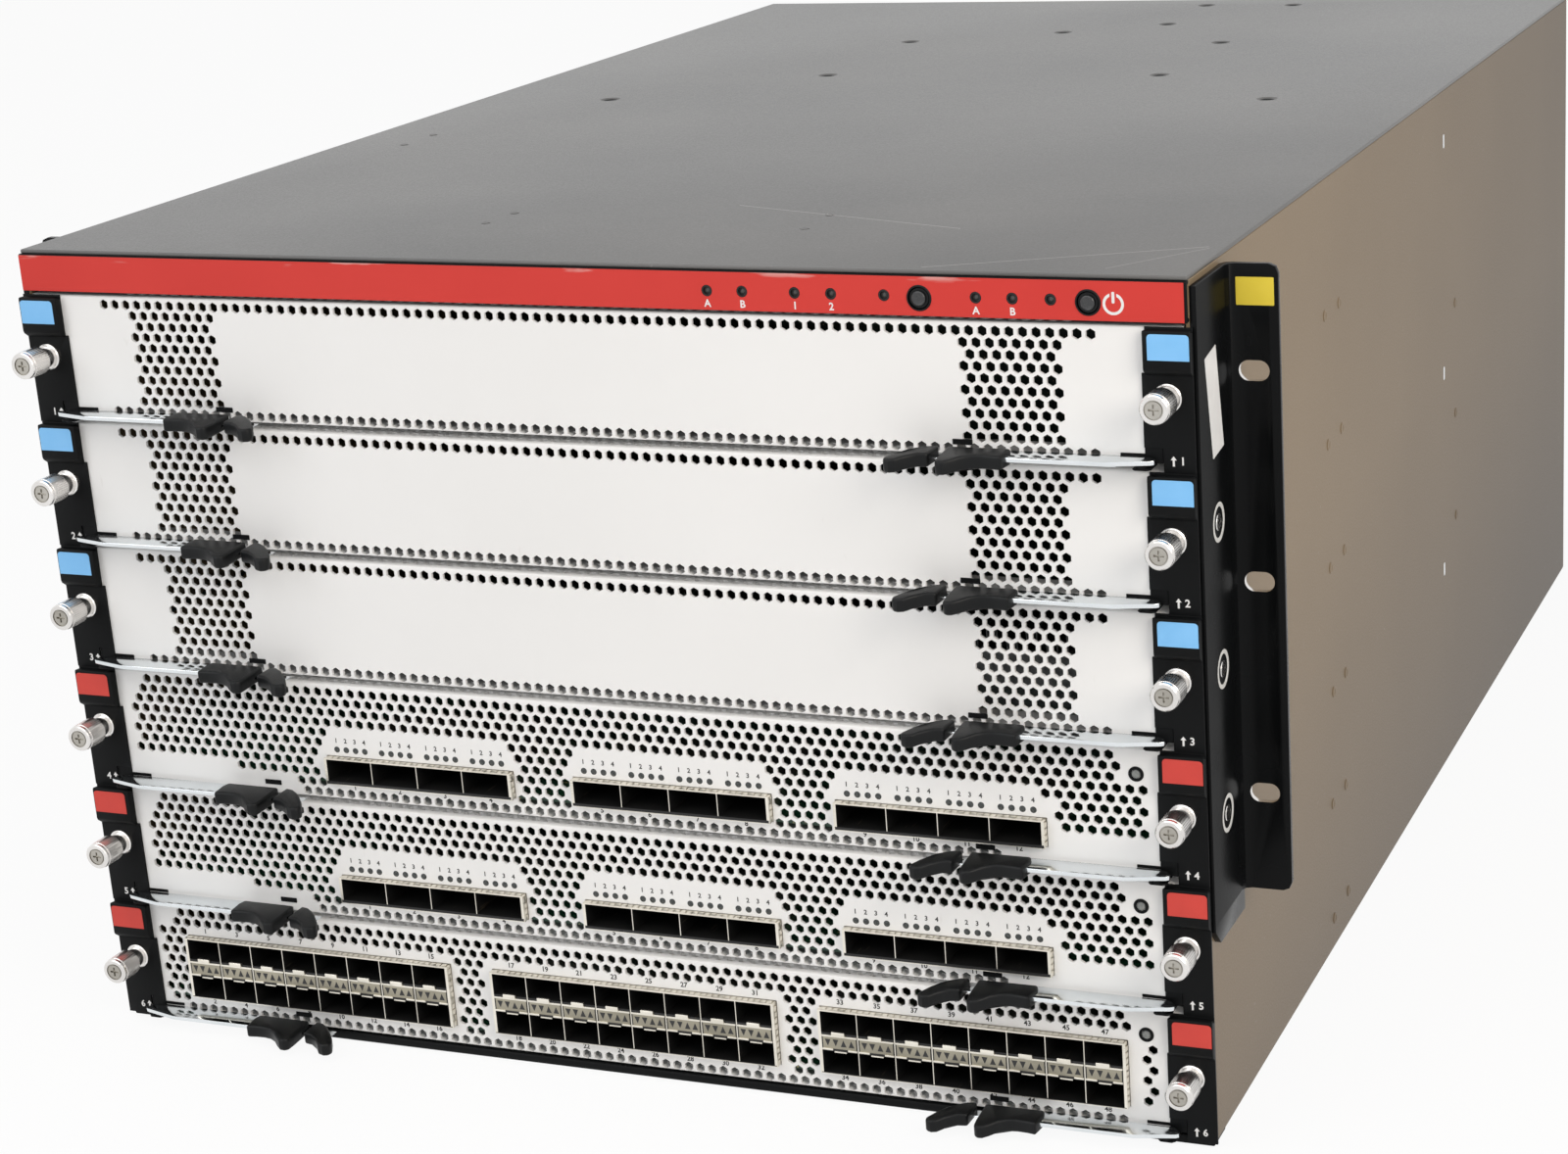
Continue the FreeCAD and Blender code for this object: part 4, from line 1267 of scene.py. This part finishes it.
def open_cage(kind, middle):
    """A cage block with its ports let in between thin walls, and a dark strip of painted shade along
    their foot.
    """
    left = middle - kind.width / 2
    right = middle + kind.width / 2
    floor = kind.floor
    cage = add_block(
        on_card(left, -CAGE_PROUD, floor), on_card(right, CAGE_BACK, floor + kind.height))
    first = port_left(kind, middle) + CAGE_WALL / 2
    for foot, top in kind.rows:
        port = add_block(
            on_card(first, -6, floor + foot),
            on_card(first + kind.pitch - CAGE_WALL, CAGE_BACK - 2, floor + top))
        repeat_along(port, kind.columns, (kind.pitch * MM, 0, 0))
        cut_with(cage, port)
    low = on_card(left + 0.1, 0.05 - CAGE_PROUD, floor + 0.1)
    high = on_card(right - 0.1, CAGE_BACK, floor + kind.height - 0.1)

    def in_port(centre, normal):
        inside = low.x < centre.x < high.x and low.z < centre.z < high.z
        return inside and centre.y > low.y and normal.y < 0.5

    paint(cage, CAGE, SHADOW)
    paint_where(cage, 1, in_port)
    # A dark block of painted shade over the front of the ports' bottom wall.
    shade_sill = add_block(
        on_card(left + 0.3, -CAGE_PROUD - 0.05, floor + 0.25),
        on_card(right - 0.3, 0.3 - CAGE_PROUD, floor + kind.rows[0][0] + 0.05))
    return gather([cage, paint(shade_sill, SHADOW)])


def spring_fingers(kind, middle):
    """Rows of bowed contact fingers along a cage's top, foot and sides."""
    half = kind.width / 2
    foot = CARD_FLOOR[1] + kind.floor
    across = int(kind.width / FINGER_PITCH)
    first = middle - across * FINGER_PITCH / 2 + 0.4
    rows = []
    for edge, way in ((foot + kind.height, 1), (foot, -1)):
        profile = [(depth, edge + way * rise) for depth, rise in FINGER_ARCH]
        finger = draw_plate(profile, "yz", first, first + FINGER_WIDTH)
        rows.append(repeat_along(finger, across, (FINGER_PITCH * MM, 0, 0)))
    tall = int(kind.height / FINGER_PITCH)
    for way in (1, -1):
        plan = [(middle + way * (half + rise), depth) for depth, rise in FINGER_ARCH]
        finger = draw_plate(plan, "xy", foot + 0.5, foot + 0.5 + FINGER_WIDTH)
        rows.append(repeat_along(finger, tall, (0, 0, FINGER_PITCH * MM)))
    return rows


def make_cages(kind, cards):
    """Dark ports in thin bright frames, with spring fingers round them."""
    cages = gather([open_cage(kind, middle) for middle in kind.middles])
    fingers = []
    for middle in kind.middles:
        fingers += spring_fingers(kind, middle)
    springs = paint(gather(fingers), CAGE)
    share_out(cages, "port_frames", "cage_steel", cards, "port_cages")
    share_out(springs, "port_springs", "cage_steel", cards)


# Blocks on the bridge between a column's two ports: kind, two corners, how proud, edge.
BRIDGE_BLOCKS = [
    # The first block is a dark sheet of painted shade behind the plate and rails.
    ("shade_backings", (0.2, 9.2), (14.05, 16.3), 0.03, 0.01),
    ("plates", (0.7, 10.2), (13.55, 15.0), 0.12, 0.05),
    ("rails", (0.35, 14.8), (13.9, 15.5), 0.35, 0.12),
    ("rails", (4.3, 15.2), (9.5, 17.1), 0.9, 0.3),
    ("rails", (0.35, 9.55), (4.5, 10.25), 0.35, 0.12),
    ("rails", (10.3, 9.55), (13.9, 10.25), 0.35, 0.12),
    ("rails", (5.0, 8.8), (9.8, 9.35), 0.35, 0.12),
]
POINTER_MIDDLE = 12.55
POINTER_FIRST = 2.55
POINTER_PITCH = 3.05
POINTER_HALF = 1.1
POINTER_RISE = 1.3
POINTER_WAYS = (-1, -1, 1, 1)
BRIDGE_LOOKS = {
    "shade_backings": (SHADOW, "black_plastic"), "rails": (CAGE, "cage_steel"),
    "plates": (DULL_CAGE, "cage_steel"), "pointers": (BLACK_INK, "black_plastic"),
}


def make_bridges():
    """A plate with pointers between the two ports of each column of the stacked cages."""
    pieces = {name: [] for name in BRIDGE_LOOKS}
    step = (STACK.pitch * MM, 0, 0)
    up = CARD_FLOOR[STACK_CARD] + STACK.floor + POINTER_MIDDLE
    for middle in STACK.middles:
        first = port_left(STACK, middle)
        for name, low, high, proud, edge in BRIDGE_BLOCKS:
            block = add_block(
                on_card(first + low[0], -CAGE_PROUD - proud, STACK.floor + low[1], STACK_CARD),
                on_card(first + high[0], 0.3 - CAGE_PROUD, STACK.floor + high[1], STACK_CARD))
            soften(block, edge, 2)
            pieces[name].append(repeat_along(block, STACK.columns, step))
        for number, way in enumerate(POINTER_WAYS):
            x = first + POINTER_FIRST + number * POINTER_PITCH
            rise = way * POINTER_RISE
            corners = [(x - POINTER_HALF, up - rise), (x + POINTER_HALF, up - rise), (x, up + rise)]
            pointer = draw_plate(corners, "xz", -CAGE_PROUD - 0.18, -CAGE_PROUD)
            pieces["pointers"].append(repeat_along(pointer, STACK.columns, step))
    for name, (finish, slot) in BRIDGE_LOOKS.items():
        dress(pieces[name], finish, f"port_{name}", f"card_{STACK_CARD}", slot)


BEZEL_PROFILE = [(-0.6, 2.7), (0.25, 2.7), (0.4, 2.5), (0.4, 1.7), (-0.2, 1.6)]
STATUS_PROFILE = [(-0.4, 1.6), (0.0, 1.6), (0.3, 1.3), (0.45, 0.7)]
PORT_LAMP_PROFILE = [(-0.3, 1.2), (0.05, 1.2), (0.16, 0.9)]
STATUS_PLACE = (198.5, 0, 36.0)
LAMPS_PER_PORT = 4
LAMP_START = 3.6
LAMP_PITCH = 3.95

# Heights of the port lamps and of the printed numbers, and how proud the print is.
PORT_LAMP_UP = 19.8
LAMP_NUMBER_UP = 23.3
QUAD_NUMBER_UP = 5.0
UPPER_NUMBER_UP = 35.2
LOWER_NUMBER_UP = 5.4
PRINT_DEPTH = -0.03
PORT_SIGN = 2.0
LAMP_SIGN = 1.8


def lamp_places(middle, port):
    """Places across of the lamps over one four-lane port."""
    first = port_left(QUAD, middle, port) + LAMP_START
    return [first + lamp * LAMP_PITCH for lamp in range(LAMPS_PER_PORT)]


def make_card_lamps():
    """Status lamps of the live cards and the lamps over the four-lane ports."""
    for card in LIVE_CARDS:
        spot = on_card(*STATUS_PLACE, card)
        bezel = turn_piece(spot, BEZEL_PROFILE, 32)
        dress([bezel], BRACKET, f"status_bezel_{card}", f"card_{card}", "black_plastic")
        lens = turn_piece(spot, STATUS_PROFILE, 24)
        dress([lens], PALE_LENS, f"status_lens_{card}", f"card_{card}", "black_plastic")
    lamps = [
        turn_piece(on_card(x, 0, PORT_LAMP_UP), PORT_LAMP_PROFILE, 14)
        for middle in QUAD.middles for port in range(QUAD.columns) for x in lamp_places(middle, port)]
    share_out(paint(gather(lamps), LENS), "port_lamps", "black_plastic", QUAD_CARDS)


def make_port_numbers():
    """Printed numbers by the ports and their lamps."""
    signs = []
    for group, middle in enumerate(QUAD.middles):
        for port in range(QUAD.columns):
            number = group * QUAD.columns + port + 1
            x = port_left(QUAD, middle, port) + 9.5
            signs.append(add_sign(str(number), on_card(x, PRINT_DEPTH, QUAD_NUMBER_UP), PORT_SIGN))
            for lamp, x in enumerate(lamp_places(middle, port)):
                spot = on_card(x, PRINT_DEPTH, LAMP_NUMBER_UP)
                signs.append(add_sign(str(lamp + 1), spot, LAMP_SIGN))
    numbers = paint(gather(signs), BLACK_INK)
    share_out(numbers, "port_numbers", "black_plastic", QUAD_CARDS, smooth=0)
    signs = []
    for group, middle in enumerate(STACK.middles):
        for column in range(STACK.columns):
            number = 2 * (group * STACK.columns + column) + 1
            x = port_left(STACK, middle, column + 0.5)
            for step, up in enumerate((UPPER_NUMBER_UP, LOWER_NUMBER_UP)):
                spot = on_card(x, PRINT_DEPTH, up, STACK_CARD)
                signs.append(add_sign(str(number + step), spot, PORT_SIGN))
    card = f"card_{STACK_CARD}"
    dress(signs, BLACK_INK, f"port_numbers_{STACK_CARD}", card, "black_plastic", smooth=0)


# Rear and insides

FAN_COLUMNS = 3
FAN_ROWS = 2
FAN_RADIUS = 45.0
FAN_HOLLOW = 14.0
BAY_GAP = 1.0
SUPPLY_COUNT = 4

# Outlines about the fan's middle: across, up.
BLADE = [(14, -5), (30, -11), (40, -13), (43, 0), (41, 9), (28, 10), (14, 6)]
SPOKE = [(-35, -34), (-34, -35), (35, 34), (34, 35)]
BLADES = 7
GUARD_RADII = (12, 20, 28, 36, 46)
WIRE_HALF = 0.7

# An inlet's pins: across, and up from the supply's foot.
PIN_PLACES = [(-6, 17.5), (0, 22.5), (6, 17.5)]
VENT_ROWS = 9
VENT_COLUMNS = 18
VENT_PITCH = 5.2


def rear_rod(x, up, radius, start, end, sides=48):
    """A round rod that points to the rear, between two distances behind the card fronts."""
    return add_rod(at(x, (start + end) / 2, up), radius, end - start, sides=sides)


def rear_bays(node, count):
    """A row of bays across the rear: their left ends, width, start, foot and height."""
    low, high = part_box(node)
    wide = ((high.x - low.x) / MM - (count - 1) * BAY_GAP) / count
    lefts = [low.x / MM + number * (wide + BAY_GAP) for number in range(count)]
    return lefts, wide, (low.y - FRONT) / MM, low.z / MM, (high.z - low.z) / MM


def make_pull(left, right, reach, up):
    """A bent handle that stands out to the rear."""
    root = DEPTH - 0.5
    end = DEPTH + reach
    pull = draw_plate(
        [(left, root), (left, end - 3), (left + 3, end), (right - 3, end), (right, end - 3),
         (right, root), (right - 3.5, root), (right - 3.5, end - 3.5), (left + 3.5, end - 3.5),
         (left + 3.5, root)],
        "xy", up - 3, up + 3)
    return soften(pull, 0.8, 2)


def make_fan_rotor(x, up):
    """A hub with swept blades, spun about its own middle."""
    blade = draw_plate(
        [(x + across, up + rise) for across, rise in BLADE], "xz", DEPTH - 7.5, DEPTH - 6.3)
    only(blade)
    open_edit("VERT")
    bpy.ops.mesh.select_all(action="SELECT")
    bpy.ops.transform.rotate(
        value=math.radians(16), orient_axis="X", center_override=at(x + 28, DEPTH - 7, up))
    bpy.ops.mesh.spin(
        steps=BLADES - 1, dupli=True, angle=math.tau * (BLADES - 1) / BLADES,
        center=at(x, DEPTH - 7, up), axis=(0, 1, 0), use_auto_merge=False)
    close_edit()
    hub = rear_rod(x, up, 16, DEPTH - 8, DEPTH - 3.2, 40)
    return [blade, soften(hub, 1.2, 3)]


def make_fan_guard(x, up):
    """Wire rings and crossed spokes over a fan's opening."""
    wires = []
    for radius in GUARD_RADII:
        ring = rear_rod(x, up, radius + WIRE_HALF, DEPTH + 0.2, DEPTH + 1.6)
        cut_with(ring, rear_rod(x, up, radius - WIRE_HALF, DEPTH - 3, DEPTH + 4))
        wires.append(soften(ring, 0.3, 1))
    for way in (-1, 1):
        outline = [(x + across, up + way * rise) for across, rise in SPOKE]
        wires.append(soften(draw_plate(outline, "xz", DEPTH - 0.2, DEPTH + 0.6), 0.25, 1))
    return wires


def make_fans():
    """Upright fan trays across the rear, each with two guarded fans, a pull and two screws."""
    lefts, wide, start, foot, tall = rear_bays("fan_modules", FAN_COLUMNS)
    middle = foot + tall / 2
    trays = []
    rotors = []
    wires = []
    pulls = []
    screws = []
    for left in lefts:
        x = left + wide / 2
        tray = add_block(at(left, start, foot), at(left + wide, DEPTH, foot + tall))
        for row in range(FAN_ROWS):
            up = foot + tall * (2 * row + 1) / (2 * FAN_ROWS)
            cut_with(tray, rear_rod(x, up, FAN_RADIUS, DEPTH - FAN_HOLLOW, DEPTH + 2))
            rotors += make_fan_rotor(x, up)
            wires += make_fan_guard(x, up)
        trays.append(soften(tray, 0.5, 2))
        pulls.append(make_pull(x - 26, x + 26, 10, middle))
        for side in (1, -1):
            screw = rear_rod(x + side * (wide / 2 - 9), middle, 4.5, DEPTH - 0.5, DEPTH + 7, 28)
            inset_faces(screw, round_wall, 0.15, -0.2, each=True)
            screws.append(screw)
    dress(trays, SHEEN_COAT, "fan_trays", "chassis", "black_paint", "fan_modules")
    dress(rotors, MOULDING, "fan_rotors", "chassis", "black_plastic")
    dress(wires, NICKEL, "fan_guards", "chassis", "nickel_screw")
    dress(pulls, MOULDING, "fan_pulls", "chassis", "black_plastic")
    dress(screws, NICKEL, "fan_screws", "chassis", "nickel_screw")


def make_supplies():
    """Power supplies, each with a punched vent, a mains inlet, a pull and a lamp."""
    lefts, wide, start, foot, tall = rear_bays("power_supplies", SUPPLY_COUNT)
    cases = []
    inlets = []
    pins = []
    pulls = []
    lamps = []
    for left in lefts:
        x = left + wide / 2
        case = add_block(at(left, start, foot), at(left + wide, DEPTH, foot + tall))
        soften(case, 0.5, 2)
        vents = []
        for row in range(VENT_ROWS):
            shift = (row % 2) * VENT_PITCH / 2
            hole = add_rod(at(left + 8 + shift, DEPTH, foot + 45 + row * 4.5), 2.4, 16, sides=6)
            vents.append(repeat_along(hole, VENT_COLUMNS, (VENT_PITCH * MM, 0, 0)))
        cut_with(case, gather(vents))
        cut_with(case, add_block(at(x - 14, DEPTH - 12, foot + 10), at(x + 14, DEPTH + 2, foot + 30)))
        cases.append(case)
        inlet = add_block(
            at(x - 13.8, DEPTH - 11.8, foot + 10.2), at(x + 13.8, DEPTH + 0.8, foot + 29.8))
        round_edges(inlet, runs("y"), 3.0, 3)
        inset_faces(inlet, lambda middle, normal: normal.y > 0.9, 1.8)
        well = within(at(x, DEPTH, foot + 20), 2)
        inset_faces(
            inlet, lambda middle, normal: normal.y > 0.9 and well(middle, normal), 0.4, 9.5)
        inlets.append(inlet)
        for across, up in PIN_PLACES:
            pin = add_block(
                at(x + across - 1, DEPTH - 10, foot + up - 2),
                at(x + across + 1, DEPTH - 2.5, foot + up + 2))
            pins.append(soften(pin, 0.3, 1))
        pulls.append(make_pull(left + 10, left + 32, 12, foot + 20))
        lamp = rear_rod(left + wide - 14, foot + 20, 1.8, DEPTH - 1, DEPTH + 0.3, 20)
        inset_faces(lamp, faces_rear, 0.5, -0.25)
        lamps.append(lamp)
    cases = paint(gather(cases), ALUMINIUM, SHADOW)
    paint_where(cases, 1, lambda middle, normal: -9 < (middle.y - FRONT) / MM - DEPTH < -3)
    fit(cases, "supply_cases", "chassis", "zinc_steel", "power_supplies")
    dress(inlets, MOULDING, "supply_inlets", "chassis", "black_plastic")
    dress(pins, NICKEL, "supply_pins", "chassis", "nickel_screw")
    dress(pulls, MOULDING, "supply_pulls", "chassis", "black_plastic")
    dress(lamps, LENS, "supply_lamps", "chassis", "black_plastic")


SINK_HEIGHT = 14.0
QUAD_SINKS = (-76.5, 26.0, 128.5)
STACK_SINKS = (-131.5, 1.5, 134.5)
SINK_END = 250
CHIP_DEPTHS = (90, 260, 320)
CHIP_SIZE = 28
FIN_COUNT = 22
FIN_PITCH = 4.14
FIN_START = 152
FIN_END = 218
FIN_RISE = 10


def make_sink_fins():
    """Fins and chips on the live cards' boards."""
    for card in LIVE_CARDS:
        sink_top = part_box(f"board_{card}")[1].z / MM
        board_top = sink_top - SINK_HEIGHT
        fins = []
        chips = []
        for middle in STACK_SINKS if card == STACK_CARD else QUAD_SINKS:
            fin = add_block(
                at(middle - 44, FIN_START, sink_top - 0.5),
                at(middle - 43, FIN_END, sink_top + FIN_RISE))
            soften(fin, 0.3, 1)
            fins.append(repeat_along(fin, FIN_COUNT, (FIN_PITCH * MM, 0, 0)))
            for depth in CHIP_DEPTHS:
                chip = add_block(
                    at(middle - CHIP_SIZE / 2, depth, board_top - 0.2),
                    at(middle + CHIP_SIZE / 2, depth + CHIP_SIZE, board_top + 2.2))
                chips.append(soften(chip, 0.4, 2))
        dress(fins, ALUMINIUM, f"sink_fins_{card}", f"card_{card}", "zinc_steel")
        dress(chips, MOULDING, f"board_chips_{card}", f"card_{card}", "black_plastic")


def finish_inside():
    """Better finishes on the frame's own boards, guides and midplane."""
    for name in ("control_board", "midplane", "card_guides"):
        paint(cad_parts[name], ZINC if name == "card_guides" else BOARD, MOULDING)
    sockets_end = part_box("midplane")[1].y - 3.3 * MM
    paint_where(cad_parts["midplane"], 1, lambda middle, normal: middle.y < sockets_end)
    for card in LIVE_CARDS:
        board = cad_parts[f"board_{card}"]
        paint(board, BOARD, ALUMINIUM, MOULDING)
        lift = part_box(f"board_{card}")[1].z - (SINK_HEIGHT - 0.1) * MM
        end = FRONT + SINK_END * MM
        paint_where(board, 1, lambda middle, normal: middle.z > lift and middle.y < end)
        paint_where(board, 2, lambda middle, normal: middle.z > lift and middle.y > end)


# Stage

# Soft lamps: place, aim, size, power and colour.
STAGE_LAMPS = {
    "overhead": ((-0.2, -0.9, 2.4), (0.0, -0.1, 0.15), 2.6, 20.5, (1.0, 0.99, 0.98)),
    "left_front": ((-1.5, -2.4, 1.4), (0.0, -0.3, 0.15), 1.8, 21.5, (0.97, 0.98, 1.0)),
    "right_side": ((1.1, -0.95, 0.85), (0.22, -0.2, 0.2), 0.7, 9.0, (1.0, 0.92, 0.82)),
}
CAMERA_PLACE = (501.85, -918.82, 509.98)
CAMERA_TURN = (72.1007, 3.0227, 20.2063)
CAMERA_SETTINGS = {
    "sensor_width": 36.0, "lens": 70.82, "shift_x": -0.125, "shift_y": 0.0194, "clip_start": 0.01,
}


def make_floor():
    """A pale floor, which the camera sees as plain white."""
    deselect()
    bpy.ops.mesh.primitive_plane_add(size=14.0, location=(0, 0, -0.0004))
    floor = bpy.context.object
    floor.name = "floor"
    pale = Finish("pale_floor")
    mottle = pale.noise(3.0, 2.0)
    pale.set(Base_Color=pale.blend(mottle, shade(0.84), shade(0.87)), Roughness=0.6 + mottle * 0.1)
    glow = pale.node("ShaderNodeEmission", {}, {"Strength": 1.0}, output="Emission")
    matt = Wire(pale, pale.surface.outputs[0])
    lit = pale.node("ShaderNodeMixShader", {}, {0: pale.seen() * 0.92, 1: matt, 2: glow})
    pale.feed(pale.tree.nodes["Material Output"].inputs["Surface"], lit)
    floor.data.materials.append(pale.material)


def make_sky():
    """A dim sky that lights the scene, and white where the camera sees it."""
    world = bpy.data.worlds.new("studio")
    bpy.context.scene.world = world
    world.use_nodes = True
    studio = Nodes(world.node_tree)
    dim = studio.tree.nodes["Background"]
    dim.inputs["Color"].default_value = (1.0, 0.99, 0.98, 1)
    dim.inputs["Strength"].default_value = 0.4
    sky = Wire(studio, dim.outputs[0])
    white = studio.node("ShaderNodeBackground", {}, {"Color": (1.0, 1.0, 1.0, 1), "Strength": 1.0})
    mixed = studio.node("ShaderNodeMixShader", {}, {0: studio.seen(), 1: sky, 2: white})
    studio.feed(studio.tree.nodes["World Output"].inputs["Surface"], mixed)


def make_stage():
    """The floor, the sky, soft lamps and the camera at the photograph's angle."""
    make_floor()
    make_sky()
    for name, (place, aim, size, power, colour) in STAGE_LAMPS.items():
        deselect()
        bpy.ops.object.light_add(type="AREA", location=place)
        lamp = bpy.context.object
        lamp.name = name
        lamp.data.size = size
        lamp.data.energy = power
        lamp.data.color = colour
        way = Vector(aim) - Vector(place)
        lamp.rotation_euler = way.to_track_quat("-Z", "Y").to_euler()
        lamp.visible_camera = False
    deselect()
    bpy.ops.object.camera_add(
        location=at(*CAMERA_PLACE), rotation=[math.radians(turn) for turn in CAMERA_TURN])
    camera = bpy.context.object
    for setting, value in CAMERA_SETTINGS.items():
        setattr(camera.data, setting, value)
    scene = bpy.context.scene
    scene.camera = camera
    scene.view_settings.view_transform = "Standard"


make_shell()
make_side_rivets()
make_cover()
make_banner()
make_ears()
make_faceplates()
make_lever_seats()
make_brackets()
make_slot_numbers()
make_thumbscrews()
make_levers()
make_cages(QUAD, QUAD_CARDS)
make_cages(STACK, (STACK_CARD,))
make_bridges()
make_card_lamps()
make_port_numbers()
make_fans()
make_supplies()
make_sink_fins()
finish_inside()
make_stage()
